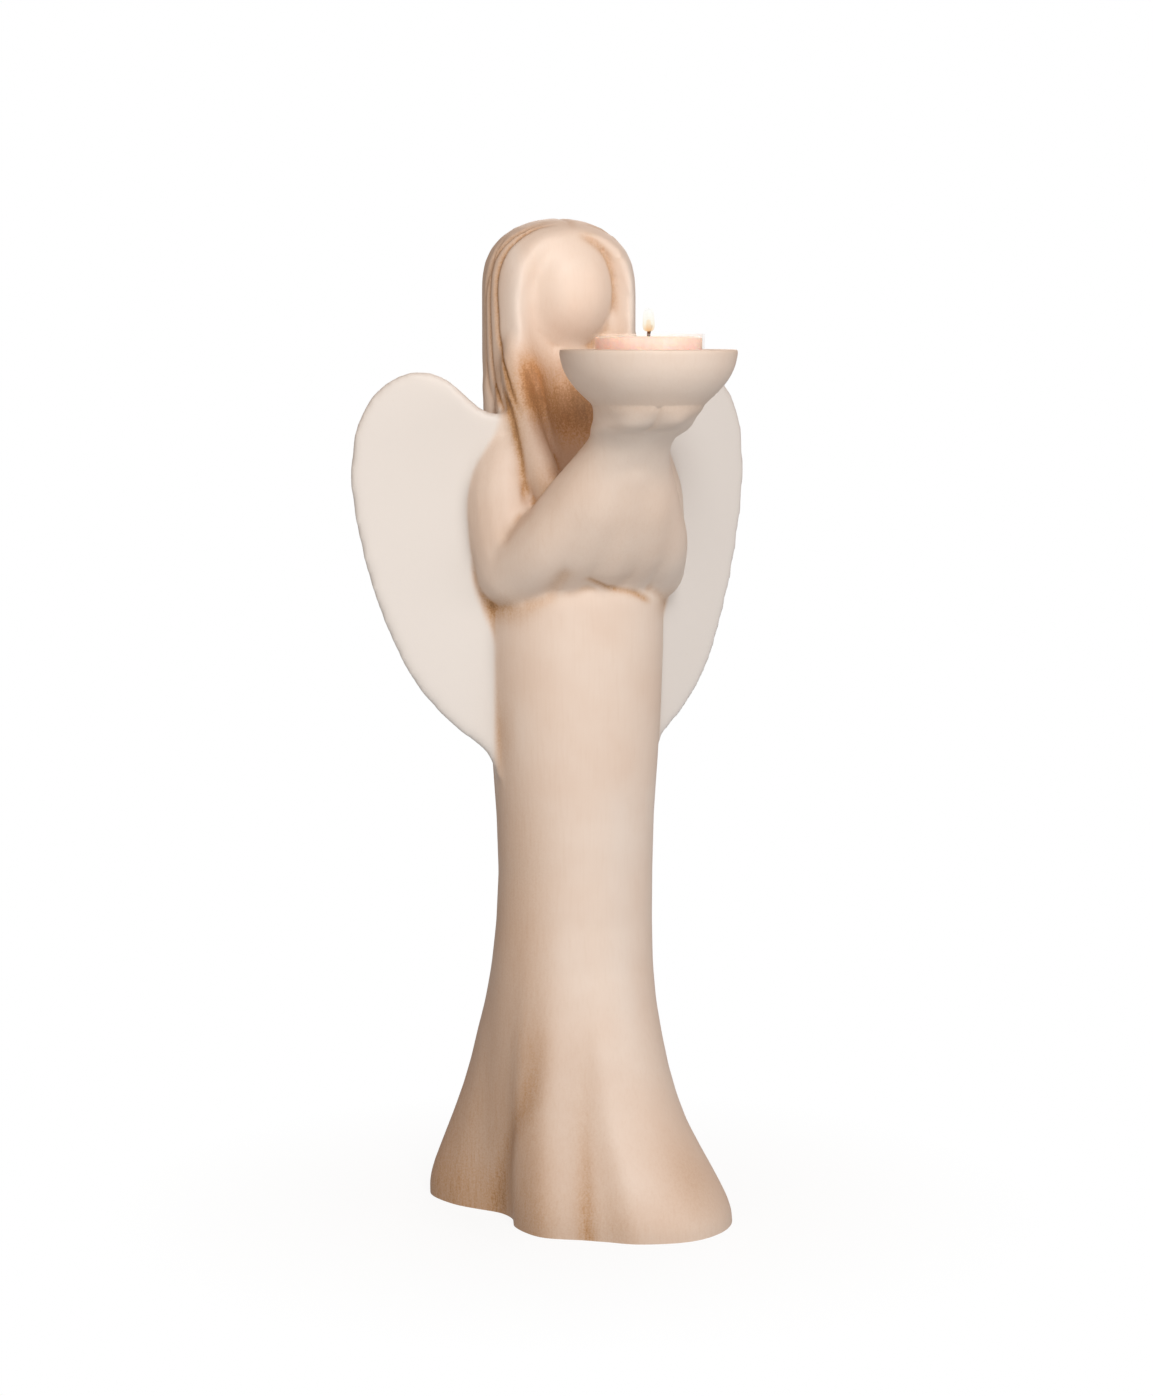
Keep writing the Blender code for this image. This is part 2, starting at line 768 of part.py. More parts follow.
def build_wick(coll):
    base, top = wax_levels()
    start = base + TAB_THICKNESS + FIT_GAP
    tip = top + WICK_STAND
    curve = bpy.data.curves.new("wick", "CURVE")
    curve.dimensions = "3D"
    curve.resolution_u = 4
    curve.bevel_depth = WICK_RADIUS * MM
    curve.bevel_resolution = 2
    curve.use_fill_caps = True
    spline = curve.splines.new("BEZIER")
    path = ((0.0, start), (0.0, top - 1.0), (0.15, top + 1.5), (0.9, tip))
    spline.bezier_points.add(len(path) - 1)
    for point, (x, z) in zip(spline.bezier_points, path):
        point.co = (x * MM, BOWL_Y * MM, z * MM)
        point.handle_left_type = "AUTO"
        point.handle_right_type = "AUTO"
    obj = add_object("wick_curve", curve, coll)
    mesh = evaluated_mesh(obj, "wick")
    bm = bmesh.new()
    bm.from_mesh(mesh)
    bmesh.ops.remove_doubles(bm, verts=bm.verts[:], dist=1e-6)
    obj = add_object("wick", mesh_from(bm, "wick"), coll)
    obj.data.materials.clear()
    obj.data.materials.append(material("cotton_wick", (0.20, 0.12, 0.07), 0.9))
    return obj


def main():
    clear_scene()
    coll = collection("angel_candle_holder")
    cutters = collection("cutters")
    build_figure(coll, cutters)
    for build in (build_cup, build_wax, build_tab, build_wick):
        obj = build(coll)
        for poly in obj.data.polygons:
            poly.use_smooth = True


main()
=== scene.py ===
"""Angel candle holder: the looks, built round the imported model.

The figure is one cream glazed casting with a tan wash rubbed into its hollows. Sizes
are named in millimetres; the scene is in metres.
"""

import math

import bmesh
import bpy
import numpy as np
from mathutils import Matrix, Vector
from mathutils.geometry import interpolate_bezier
from mathutils.kdtree import KDTree


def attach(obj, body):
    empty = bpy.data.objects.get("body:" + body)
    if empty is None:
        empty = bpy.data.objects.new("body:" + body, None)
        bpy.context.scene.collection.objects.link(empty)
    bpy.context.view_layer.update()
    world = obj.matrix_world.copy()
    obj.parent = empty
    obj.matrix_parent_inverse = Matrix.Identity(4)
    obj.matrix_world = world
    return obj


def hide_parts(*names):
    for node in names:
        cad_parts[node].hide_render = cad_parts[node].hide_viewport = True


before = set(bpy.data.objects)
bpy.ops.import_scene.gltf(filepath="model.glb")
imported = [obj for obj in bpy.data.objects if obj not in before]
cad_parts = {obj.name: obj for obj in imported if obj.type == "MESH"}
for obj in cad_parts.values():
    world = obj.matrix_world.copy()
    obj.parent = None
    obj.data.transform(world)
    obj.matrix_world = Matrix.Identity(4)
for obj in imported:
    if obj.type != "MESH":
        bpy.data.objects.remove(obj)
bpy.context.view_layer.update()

MM = 0.001

# Overall sizes, and the (span, height) that the tables below are drawn at
FIGURE_HEIGHT = 357.3
FIGURE_SPAN = 159.3
DRAWN_AT = (159.3, 357.3)

# Gown: an oval column that flares into a folded hem.
HEM_FOLDS = (
    # (x, y) of the hem where each fold turns, walked counter-clockwise
    (46.0, -25.0), (42.5, -43.0), (32.0, -56.0), (16.5, -61.8), (-1.0, -57.5), (-11.0, -49.5),
    (-18.5, -43.5), (-29.5, -34.5), (-32.5, -20.0), (-29.0, -8.5), (-32.5, 2.5), (-41.0, 17.0),
    (-43.3, 33.5), (-34.0, 44.5), (-20.0, 42.0), (-4.0, 34.0), (12.0, 37.0), (30.0, 43.0),
    (43.0, 33.0), (42.0, 14.0), (39.0, -4.0),
)
# height, half width, half depth, share of the hem shape, sway to the side, centre back
GOWN_LEVELS = (
    (-6.0, 28.5, 22.5, 1.000, 0.0, 0.0),
    (4.0, 28.5, 22.5, 0.995, -0.6, 0.0),
    (10.0, 28.5, 22.5, 0.940, -1.2, 0.0),
    (20.3, 28.5, 22.5, 0.790, -2.0, 0.0),
    (34.1, 28.5, 22.5, 0.580, -3.0, 0.0),
    (48.7, 28.5, 22.5, 0.410, -3.0, 0.0),
    (64.0, 28.6, 22.6, 0.280, -2.8, 0.0),
    (80.4, 28.8, 22.8, 0.145, -2.0, 0.0),
    (98.7, 28.8, 23.0, 0.050, -0.9, 0.0),
    (119.0, 28.6, 23.2, 0.010, 0.0, 0.0),
    (141.2, 29.2, 23.5, 0.0, 0.0, 0.0),
    (163.3, 30.8, 24.0, 0.0, 0.0, 0.0),
    (185.3, 32.2, 24.4, 0.0, 0.0, 0.0),
    (207.2, 33.0, 24.6, 0.0, 0.0, 0.0),
    (225.1, 33.0, 24.0, 0.0, 0.0, 0.0),
    (244.9, 32.0, 21.5, 0.0, 0.0, 1.0),
    (264.5, 29.0, 17.5, 0.0, 0.0, 4.0),
    (276.3, 23.0, 14.0, 0.0, 0.0, 7.0),
    (286.1, 15.0, 11.5, 0.0, 0.0, 9.0),
    (297.7, 11.0, 10.5, 0.0, 0.0, 10.0),
    (311.4, 10.5, 10.5, 0.0, 0.0, 11.0),
)
WALL = 6.0
CAVITY_FLOOR = 7.0
CAVITY_TOP = 270.4
VENT_RADIUS = 7.0
VENT_Y = 16.0

# Head and hair: the face lies in an opening of the hair
HEAD_Y = 14.0
CROWN_Z = DRAWN_AT[1]
DOME_BASE_Z = CROWN_Z - 26.6
HAIR_HALF_WIDTH = 28.1
HAIR_HALF_DEPTH = 24.6
HAIR_END_Z = CROWN_Z - 118.4
HAIR_FALL_Z = 300.0
FACE_CENTRE_Y = 7.5
FACE_CENTRE_Z = CROWN_Z - 25.1
FACE_HALF_WIDTH = 17.0
FACE_HALF_DEPTH = 14.0
FACE_HALF_HEIGHT = 21.4
HOLLOW_CENTRE_Y = -12.0
HOLLOW_CENTRE_Z = CROWN_Z - 32.0
HOLLOW_HALF_WIDTH = 25.0
HOLLOW_HALF_DEPTH = 20.0
HOLLOW_HALF_HEIGHT = 31.0

# The neck, open between the locks: (out, y, down from the crown, radius)
NECK_OPENING = (
    (0.0, -12.0, 30.0, 16.0), (0.0, -14.0, 52.0, 18.5), (0.0, -17.5, 74.0, 16.5),
    (0.0, -23.0, 98.0, 12.0),
)

# Locks that leave the hair at the shoulder: (out, y, down from the crown, radius)
FRONT_LOCK = (
    (21.0, 5.0, 38.0, 3.5), (22.8, 1.2, 52.0, 5.2), (22.2, -3.0, 66.0, 5.4),
    (20.8, -7.0, 78.0, 5.6), (18.6, -12.0, 89.0, 6.0), (16.6, -17.5, 102.0, 4.4),
)
MIDDLE_LOCK = (
    (22.8, 8.0, 44.0, 3.4), (23.6, 6.0, 60.0, 4.6), (24.4, 2.0, 72.0, 4.6), (21.6, -6.0, 87.0, 3.6),
    (18.4, -12.0, 98.7, 2.0),
)
BACK_LOCK = (
    (22.0, 18.0, 44.0, 5.0), (22.6, 16.0, 60.0, 6.2), (24.4, 11.5, 74.0, 5.4),
    (22.0, 9.0, 87.0, 3.0),
)

# Sleeves and hands: (out, y, height, radius), mirrored for the other arm
UPPER_ARM = (
    (18.0, 7.0, 283.1, 7.0), (24.5, 4.0, 274.3, 11.4), (28.0, 1.5, 260.6, 13.6),
    (28.0, -1.5, 245.8, 13.4), (26.6, -5.5, 233.0, 13.0),
)
FOREARM = (
    (26.6, -5.5, 233.0, 13.0), (20.5, -20.0, 243.4, 12.8), (12.5, -31.0, 258.6, 12.2),
    (6.8, -39.5, 271.9, 10.4), (4.0, -45.0, 278.2, 10.0),
)
SLEEVE_SIDE = (
    (12.0, -14.0, 236.5, 13.0), (11.0, -24.0, 246.0, 14.0), (8.0, -32.5, 258.0, 13.6),
    (4.5, -39.5, 270.0, 11.0),
)
SLEEVE_FRONT = (
    (0.0, -8.0, 238.9, 16.0), (0.0, -20.5, 245.8, 17.6), (0.0, -32.0, 259.6, 15.0),
    (0.0, -40.0, 271.4, 12.0),
)
SLEEVE_FOLD_CENTRE = (0.0, -15.5, 243.9)
SLEEVE_FOLD_HALVES = (32.0, 22.0, 17.0)
SLEEVE_FOLD_TILT_DEG = -38.0
HAND_LEVELS = (
    # height, centre, radius
    (264.5, -34.0, 10.0), (269.4, -37.4, 13.0), (274.3, -40.6, 14.0), (278.0, -43.0, 14.4),
    (281.0, -46.0, 14.8), (284.4, -51.0, 15.7), (287.5, -54.4, 16.9), (290.4, -56.4, 18.0),
    (294.0, -57.6, 18.2),
)
PALM_CENTRE = (8.0, -53.8, 285.8)
PALM_HALVES = (8.9, 16.6, 5.2)
PALM_TILT_DEG = -12.0

# Wings: flat plates swept back from the shoulders
WING_THICKNESS = 4.2
WING_SWEEP_DEG = 24.3
WING_ROOT_Y = -14.5
WING_TIP_RANGE = 34.0
RIGHT_TIP_LIFT = -1.4
LEFT_TIP_LIFT = 3.4
WING_OUTLINE = (
    # distance out from the middle, height
    (20.0, 284.1), (38.9, 290.3), (45.7, 296.0), (51.8, 301.0), (60.7, 303.4), (71.4, 300.1),
    (81.2, 288.4), (85.2, 269.4), (82.5, 244.9), (77.7, 226.3), (71.0, 208.2), (62.2, 191.9),
    (51.6, 179.9), (43.1, 173.1), (37.6, 168.5), (33.4, 160.3), (26.0, 151.2), (15.0, 173.3),
    (14.0, 233.0),
)

# Bowl
BOWL_Y = -58.4
RIM_Z = 0.8704 * FIGURE_HEIGHT
RIM_RADIUS = 30.1
RIM_WIDTH = 2.6
SEAT_DEPTH = 11.0
SEAT_RADIUS = 20.6
BOWL_FOOT_Z = RIM_Z - 22.0
BOWL_FOOT_RADIUS = 13.0
BOWL_WALL = (
    # in from the rim's edge, down from the rim
    (0.0, 0.6), (0.15, 2.6), (1.1, 6.2), (2.9, 9.8), (5.7, 13.4), (9.4, 17.0), (11.8, 19.2),
    (14.4, 20.6),
)
# The clay runs on under the bowl and hollows into the hands: radius, down from the rim
COLLAR = (
    (14.0, 16.6), (17.4, 17.9), (18.8, 19.4), (18.2, 20.6), (16.6, 22.2), (14.6, 24.0),
    (12.4, 25.6), (9.0, 27.0),
)

# Heights of the rings that the gown and the hollow inside it are lofted through
GOWN_RINGS = (
    -6, 0, 4, 8, 13, 19, 26, 34, 43, 53, 64, 76, 90, 106, 124, 144, 164, 184, 204, 222, 240,
    252, 262, 268, 274, 279, 284, 290, 296, 303, 310,
)
CAVITY_RINGS = (CAVITY_FLOOR, 12, 20, 30, 42, 56, 74, 98, 130, 166, 204, 236, 256, CAVITY_TOP)
CAVITY_TAPER_Z = 250.0
CAVITY_TAPER = 0.45
# What lies under the floor is cut away by a block of this width and depth
CUT_SPAN = 300.0
CUT_DEPTH = 40.0

# The casting's skin: voxel size, rounds of evening out, and more rounds where the clay was wiped soft
SKIN_VOXEL = 1.3
SKIN_ROUNDS = 6
RIM_SOFTENING = 40
SLEEVE_SOFTENING = 22
SLEEVE_SOFTENING_SHARE = 0.8
WING_SOFTENING = 9
# The bowl's underside as a part of the skin: its top, down from the rim, and how far inside the wall it is
ROOT_TOP = 13.0
ROOT_INSET = 0.35
# How far on each side of a drawn line the skin is made finer
REFINED_REACH = 2.8
# Furrows combed into the back of the hair: how many to a full turn, and how deep
FURROWS = 17.0
FURROW_DEPTH = 0.55

# Zones of the skin: direction, where the zone starts and where it is full; "out" is away from the middle
HOOD_EDGE = (("out", 25.0, 19.0), ("y", 8.0, 2.0), ("y", -16.0, -10.0), ("z", 296.0, 306.0))
THROAT = (("out", 21.0, 17.0), ("y", -24.0, -18.0), ("z", 272.0, 280.0), ("z", 314.0, 306.0))
# The hair's front band beside the face, painted lighter as a highlight
LIT_HAIR_BAND = (("y", 9.0, 5.0), ("z", 306.0, 320.0))
LIT_HAIR_BAND_OUT = 22.5
LIT_HAIR_BAND_HALF_WIDTH = 3.0
LIT_HAIR_BAND_SHARE = 0.4
SLEEVE_OPEN = (("out", 32.0, 24.0), ("y", -26.0, -34.0), ("z", 230.0, 242.0))
SLEEVE_OPEN_TOP = 282.0
PALMS = (("y", -40.0, -48.0), ("z", 270.0, 282.0))
THROAT_BACK_Y = 9.0
# The wing plates: how far out they are clear of the body, at the elbow and at the shoulder, and their foot
WING_CLEAR_OUT = 33.0
WING_CLEAR_ELBOW = 8.0
WING_CLEAR_SHOULDER = -10.0
WING_CLEAR_FOOT = 150.0
WING_TIPS_OUT = 60.0

# Wash in the hollows, and painted shade in the broader recesses: rounds that find them, share, and how
# hollow it starts and is full, fine and broad
FINE_HOLLOWS = (10, 0.40, 0.04, 0.60)
BROAD_HOLLOWS = (105, 0.26, 0.6, 5.0)
MOST_WASH_AND_SHADE = 1.15
# How much of the wash was wiped off round the face, on the throat and on the palms
RIM_WIPED = 0.7
THROAT_WIPED = 0.8
PALMS_WIPED = 0.6
# Tan wash and painted shade on open faces, as shares of zones, darker towards the bottom: the hem, the
# lower skirt and the hem's right side
HEM_WASH_AND_SHADE = (
    (0.09, (("z", 22.0, 2.0),)),
    (0.06, (("z", 120.0, 25.0),)),
    (0.15, (("z", 80.0, 6.0), ("x", -20.0, -42.0))),
)
# Painted shade on the figure's right side, which faces away from the key light: on it in all, and what the
# skirt gains there between two heights
SIDE_SHADE = 0.08
SKIRT_SIDE_SHADE = 0.20
SKIRT_SIDE = (("z", 180.0, 125.0),)
# Spots of wash, some also of painted shade: share, centre, reach, zone, and the y where it stops; None
# leaves a direction out
HEM_SPOT = (0.22, (21.0, -51.0, 20.0), (12.0, 12.0, 13.0))
WASH_AND_SHADE_SPOTS = (
    # neck: wash and painted shade
    (0.86, (0.0, None, 290.0), (21.0, None, 17.0), (("y", -24.0, -10.0),), THROAT_BACK_Y),
    # inner sides of the hair beside the neck: wash and painted shade
    (0.80, (19.5, None, 299.0), (6.0, None, 11.0), (("y", -15.0, -9.0),), THROAT_BACK_Y),
    # under the elbows
    (0.40, (32.0, None, 220.0), (7.0, None, 5.0), (), 0.0),
    # where the locks run into the lap of the sleeves
    (0.55, (17.0, -16.0, 265.0), (6.0, 6.0, 7.0), (), math.inf),
    # front of the sleeves
    (0.10, (0.0, None, 245.0), (24.0, None, 20.0), (("y", -22.0, -30.0),), math.inf),
    # lower ends of the wings' roots: wash and painted shade where they meet the body
    (0.35, (34.0, None, 174.0), (5.0, None, 16.0), (("y", -14.0, -8.0),), math.inf),
)
# The bowl, down from the rim: wiped to here, and a little painted shadow in the join with the hands
BOWL_WIPED_DOWN = 19.0
BOWL_JOIN_DOWN = 19.3
BOWL_JOIN_REACH = 3.5
BOWL_JOIN_SHADE = 0.13
BOWL_ZONE_DOWN = 24.0
HANDS_CORE_RADIUS = 12.0
# How far from the skin a point may be and still take its wash
CARRY_REACH = 4.0

# Tealight
TOP_OF_WAX = 315.0
FLAME_FOOT_Z = 316.8
FLAME_HEIGHT = 8.4
FLAME_HALF_WIDTH = 2.2
FLAME_ROUNDNESS = 5.0
FLAME_TAPER = 0.20
FLAME_STEPS = 24

# Lines drawn into both sides of the clay: depth, half width, share of wash, and points on the right side
HAIR_LINES = (
    (0.7, 0.8, 0.35, (
        (-17.4, 14.4, 352.1), (-23.2, 13.4, 347.5), (-27.3, 13.1, 338.7), (-27.5, 15.8, 328.2),
        (-27.5, 15.4, 310.5), (-27.4, 13.1, 298.2), (-27.5, 7.5, 289.5),
    )),
    (0.8, 0.8, 0.45, (
        (-2.0, 6.0, 356.6), (-9.0, 7.4, 354.9), (-15.5, 8.3, 352.5), (-21.9, 10.2, 348.5),
        (-26.0, 11.9, 341.8), (-27.7, 12.2, 334.8), (-28.0, 12.4, 326.0), (-27.9, 11.5, 313.7),
        (-27.5, 9.7, 301.4), (-28.0, 5.6, 296.2), (-27.7, 0.9, 290.1), (-27.2, -4.8, 281.5),
    )),
    (0.9, 0.8, 0.55, (
        (-2.0, 3.0, 355.9), (-7.0, 4.6, 354.8), (-13.2, 6.0, 353.2), (-19.3, 6.6, 349.6),
        (-23.7, 7.3, 344.9), (-26.3, 7.9, 338.6), (-27.2, 8.2, 332.1), (-27.0, 7.6, 323.4),
        (-26.6, 6.4, 313.7), (-27.7, -0.7, 303.3), (-26.5, -5.4, 293.8), (-23.9, -9.5, 285.1),
    )),
)
PARTING = (0.7, 1.2, 0.3, (
    (0.0, -2.0, 352.8), (0.0, 2.0, 355.4), (0.0, 8.0, 357.0), (0.0, 16.0, 357.3), (0.0, 26.0, 355.0),
    (0.0, 34.0, 348.0), (0.0, 38.0, 338.0),
))
# Creases on both sides: beside the lock, and between forearm and upper arm, whose little wash is painted
# shade
SIDE_CREASES = (
    (0.6, 1.1, 0.65, (
        (-27.4, 2.5, 299.2), (-27.3, -4.0, 290.5), (-26.4, -7.3, 281.8), (-25.4, -9.5, 273.1),
        (-25.1, -10.9, 264.2), (-25.6, -15.1, 254.7),
    )),
    # between forearm and upper arm: painted shade
    (0.4, 2.6, 0.12, (
        (-25.6, -16.0, 256.0), (-28.1, -21.9, 254.7), (-31.8, -17.3, 248.8), (-35.5, -14.7, 241.8),
    )),
)
# Creases drawn once: two under the sleeves, one between and one below the palms, one right of the face; the
# one below the palms holds painted shade, the one right of the face wash and painted shadow
FRONT_CREASES = (
    (0.25, 1.6, 0.25, (
        (-28.1, -13.0, 221.2), (-23.5, -17.0, 222.7), (-19.3, -19.4, 224.8), (-17.9, -27.0, 232.4),
        (-16.4, -32.1, 236.1),
    )),
    (0.35, 0.8, 0.55, (
        (-11.3, -29.3, 232.3), (-1.7, -25.7, 229.0), (5.4, -22.9, 227.0), (11.7, -22.2, 225.7),
        (17.3, -20.3, 223.2), (22.2, -17.7, 221.1),
    )),
    (0.7, 1.2, 0.16, (
        (-5.3, -77.8, 293.5), (-4.2, -71.8, 286.7), (-4.2, -62.2, 282.2),
    )),
    # below the palms: painted shade
    (0.25, 2.2, 0.08, (
        (-16.5, -56.6, 285.6), (-13.6, -60.7, 283.8), (-9.5, -61.5, 282.8), (-4.2, -62.2, 282.2),
        (1.2, -64.9, 283.4), (7.3, -61.8, 282.6),
    )),
    # right of the face: wash and painted shadow inside the hair
    (0.5, 1.1, 0.5, (
        (-0.6, -1.0, 351.9), (6.5, -0.3, 348.3), (12.4, 0.0, 342.3), (15.2, 1.1, 331.7),
        (15.8, 3.0, 321.1),
    )),
)
# Share of a line's length over which each end fades, and how much wider than the line its wash is
LINE_FADE = 0.18
LINE_WASH_SPREAD = 1.7
# The skirt's sharp fold, with its wash at the top and what it gains on the way down
SKIRT_FOLD = (
    (-7.7, -26.1, 82.2), (-9.6, -28.6, 67.7), (-11.3, -31.3, 53.7), (-12.8, -34.6, 40.1),
    (-14.7, -38.6, 26.8), (-16.1, -42.8, 13.6), (-16.6, -45.2, 1.7),
)
SKIRT_FOLD_DEPTH = 0.25
SKIRT_FOLD_HALF_WIDTH = 2.6
SKIRT_FOLD_WASH = 0.10
SKIRT_FOLD_WASH_GAIN = 0.22
SKIRT_FOLD_WASH_SPREAD = 1.3
# The skirt's broad valley, darkened with painted shade
SKIRT_VALLEY = (
    (-24.3, -17.3, 86.0), (-25.4, -19.7, 64.9), (-28.6, -19.5, 46.7), (-30.8, -9.2, 26.7),
    (-31.5, -2.1, 9.3), (-31.5, -1.0, 0.0),
)
SKIRT_VALLEY_DEPTH = 0.8
SKIRT_VALLEY_HALF_WIDTH = 5.0
SKIRT_VALLEY_SHADE = 0.19
# A stripe of the skirt painted paler: a painted highlight
SKIRT_HIGHLIGHT_STRIPE = (
    (7.5, -24.0, 150.0), (7.5, -24.5, 110.0), (7.0, -29.0, 80.0), (3.5, -37.0, 50.0),
    (1.0, -44.0, 30.0),
)
SKIRT_HIGHLIGHT_HALF_WIDTH = 7.0
SKIRT_HIGHLIGHT_SHARE = 0.20
# The two palms under the bowl: height of the swelling, half width across and upright, centre
PALM_SWELLS = (
    (1.4, 5.2, 3.2, (-11.6, -69.6, 286.2)),
    (1.2, 4.4, 3.0, (3.6, -74.4, 286.8)),
)

# Area lights: name, degrees round, distance, height, size, power, colour, height aimed at; in metres
AREA_LIGHTS = (
    ("key", -11.0, 1.05, 0.9, 0.4, 7.8, (1.0, 0.985, 0.965), 0.24),
    ("low_front", -5.0, 1.5, 0.30, 0.7, 4.4, (1.0, 0.975, 0.945), 0.29),
    ("right_fill", 34.0, 1.5, 0.6, 0.7, 3.6, (1.0, 0.99, 0.98), 0.18),
    ("left_fill", -56.0, 0.6, 0.36, 0.3, 0.50, (1.0, 0.90, 0.79), 0.32),
    ("back", 150.0, 1.6, 1.0, 1.0, 8.0, (1.0, 0.95, 0.91), 0.18),
)
# The candle's light, and the glow that it leaves at the throat: name, place in mm, power, radius, colour
POINT_LIGHTS = (
    ("candle", (0.0, BOWL_Y, FLAME_FOOT_Z + 5.0), 0.0080, 0.002, (1.0, 0.66, 0.36)),
    ("candle_glow", (-15.0, -14.0, 303.0), 0.0011, 0.003, (1.0, 0.40, 0.14)),
)
# Strength of the world and of the floor's white for all but the camera, which sees both at 1
WORLD_STRENGTH = 0.27
FLOOR_STRENGTH = 0.45
# The floor's white share near the figure, and between which distances it becomes plain white, in metres
FLOOR_WHITE_SHARE = 0.90
FLOOR_WHITE_FROM = 0.05
FLOOR_WHITE_TO = 0.17
FLOOR_RADIUS = 4.0

# Camera fitted to the photograph: degrees round and down, and place in metres
CAMERA_TURN_DEG = -25.0
CAMERA_TILT_DEG = 6.756
CAMERA_DISTANCE = 1.0999
CAMERA_SHIFT = 0.0004
CAMERA_HEIGHT = 0.3165
CAMERA_LENS = 79.44


def add_object(name, data):
    obj = bpy.data.objects.new(name, data)
    bpy.context.scene.collection.objects.link(obj)
    return obj


def mesh_from(bm, name):
    mesh = bpy.data.meshes.new(name)
    bmesh.ops.recalc_face_normals(bm, faces=bm.faces[:])
    bm.to_mesh(mesh)
    bm.free()
    return mesh


def evaluated_copy(obj):
    bpy.context.view_layer.update()
    graph = bpy.context.evaluated_depsgraph_get()
    return bpy.data.meshes.new_from_object(obj.evaluated_get(graph))


def evaluated_mesh(obj, name):
    mesh = evaluated_copy(obj)
    mesh.transform(obj.matrix_world)
    mesh.name = name
    bpy.data.objects.remove(obj, do_unlink=True)
    return mesh


def merged(meshes, name):
    bm = bmesh.new()
    for mesh in meshes:
        bm.from_mesh(mesh)
    return mesh_from(bm, name)


def boolean(obj, cutter, operation):
    mod = obj.modifiers.new(operation.lower(), "BOOLEAN")
    mod.operation = operation
    mod.solver = "EXACT"
    mod.object = cutter
    mesh = evaluated_copy(obj)
    obj.modifiers.clear()
    obj.data = mesh
    bpy.data.objects.remove(cutter, do_unlink=True)


def turned(profile, name, centre_y=0.0, steps=128):
    """A body turned about an upright axis from (radius, height) points."""
    bm = bmesh.new()
    verts = [bm.verts.new((r * MM, centre_y * MM, z * MM)) for r, z in profile]
    edges = [bm.edges.new(pair) for pair in zip(verts, verts[1:])]
    bmesh.ops.spin(
        bm, geom=verts + edges, cent=(0.0, centre_y * MM, 0.0), axis=(0.0, 0.0, 1.0),
        angle=2.0 * math.pi, steps=steps, use_merge=True,
    )
    bmesh.ops.remove_doubles(bm, verts=bm.verts[:], dist=1e-6)
    return mesh_from(bm, name)


def hermite(a, b, m0, m1, t):
    """Smooth value from a to b, with the slopes m0 and m1."""
    return ((2 * t ** 3 - 3 * t ** 2 + 1) * a + (t ** 3 - 2 * t ** 2 + t) * m0
            + (-2 * t ** 3 + 3 * t ** 2) * b + (t ** 3 - t ** 2) * m1)


def rounded(profile, knots):
    """Profile with extra points on a smooth curve through the named ones."""
    out = []
    for i in range(len(profile) - 1):
        a, b = Vector(profile[i]), Vector(profile[i + 1])
        if i in knots:
            before, after = Vector(profile[i - 1]), Vector(profile[i + 2])
            for k in range(5):
                out.append(hermite(a, b, (b - before) / 2.0, (after - a) / 2.0, k / 5.0))
        else:
            out.append(a)
    out.append(Vector(profile[-1]))
    return [(p.x, p.y) for p in out]


def oval_ring(count, half_width, half_depth, centre_y, height):
    """Points of a level oval."""
    turns = [2.0 * math.pi * i / count for i in range(count)]
    return [Vector((half_width * math.cos(t), centre_y + half_depth * math.sin(t), height)) for t in turns]


def loft(rings, name):
    """A closed body through rings of equal count, flat at both ends."""
    bm = bmesh.new()
    rows = [[bm.verts.new(p * MM) for p in ring] for ring in rings]
    for low, high in zip(rows, rows[1:]):
        for i in range(len(low)):
            j = (i + 1) % len(low)
            bm.faces.new((low[i], low[j], high[j], high[i]))
    bm.faces.new(rows[0][::-1])
    bm.faces.new(rows[-1])
    bmesh.ops.triangulate(bm, faces=[f for f in bm.faces if len(f.verts) > 4])
    return mesh_from(bm, name)


def limb(path, name, squash=1.0):
    """A round limb through (x, y, z, radius) points, as a closed mesh."""
    curve = bpy.data.curves.new(name, "CURVE")
    curve.dimensions = "3D"
    curve.resolution_u = 8
    curve.bevel_depth = MM
    curve.bevel_resolution = 6
    curve.use_fill_caps = True
    spline = curve.splines.new("BEZIER")
    spline.bezier_points.add(len(path) - 1)
    for point, (x, y, z, radius) in zip(spline.bezier_points, path):
        point.co = Vector((x, y, z)) * MM
        point.handle_left_type = "AUTO"
        point.handle_right_type = "AUTO"
        point.radius = radius
    obj = add_object(name, curve)
    mesh = evaluated_mesh(obj, name)
    bm = bmesh.new()
    bm.from_mesh(mesh)
    bmesh.ops.remove_doubles(bm, verts=bm.verts[:], dist=1e-6)
    for end in (path[0], path[-1]):
        centre = Vector(end[:3]) * MM
        bmesh.ops.create_icosphere(
            bm, subdivisions=3, radius=end[3] * MM * 0.995, matrix=Matrix.Translation(centre)
        )
    return mesh_from(bm, name)


def ball(centre, halves, name, tilt=0.0):
    """An egg shape with the given half sizes, tilted about X."""
    bm = bmesh.new()
    place = Matrix.Translation(Vector(centre) * MM) @ Matrix.Rotation(math.radians(tilt), 4, "X")
    scale = Matrix.Diagonal((halves[0] * MM, halves[1] * MM, halves[2] * MM, 1.0))
    bmesh.ops.create_icosphere(bm, subdivisions=4, radius=1.0, matrix=place @ scale)
    return mesh_from(bm, name)


def mirrored(path, side):
    return [(side * x, y, z, radius) for x, y, z, radius in path]


def eased(levels, height, column):
    """Smooth value of one column between named levels."""
    if height <= levels[0][0]:
        return levels[0][column]
    for low, high in zip(levels, levels[1:]):
        if height <= high[0]:
            at = levels.index(low)
            before = levels[max(at - 1, 0)]
            after = levels[min(at + 2, len(levels) - 1)]
            span = high[0] - low[0]
            t = (height - low[0]) / span
            m0 = (high[column] - before[column]) / (high[0] - before[0]) * span
            m1 = (after[column] - low[column]) / (after[0] - low[0]) * span
            return hermite(low[column], high[column], m0, m1, t)
    return levels[-1][column]


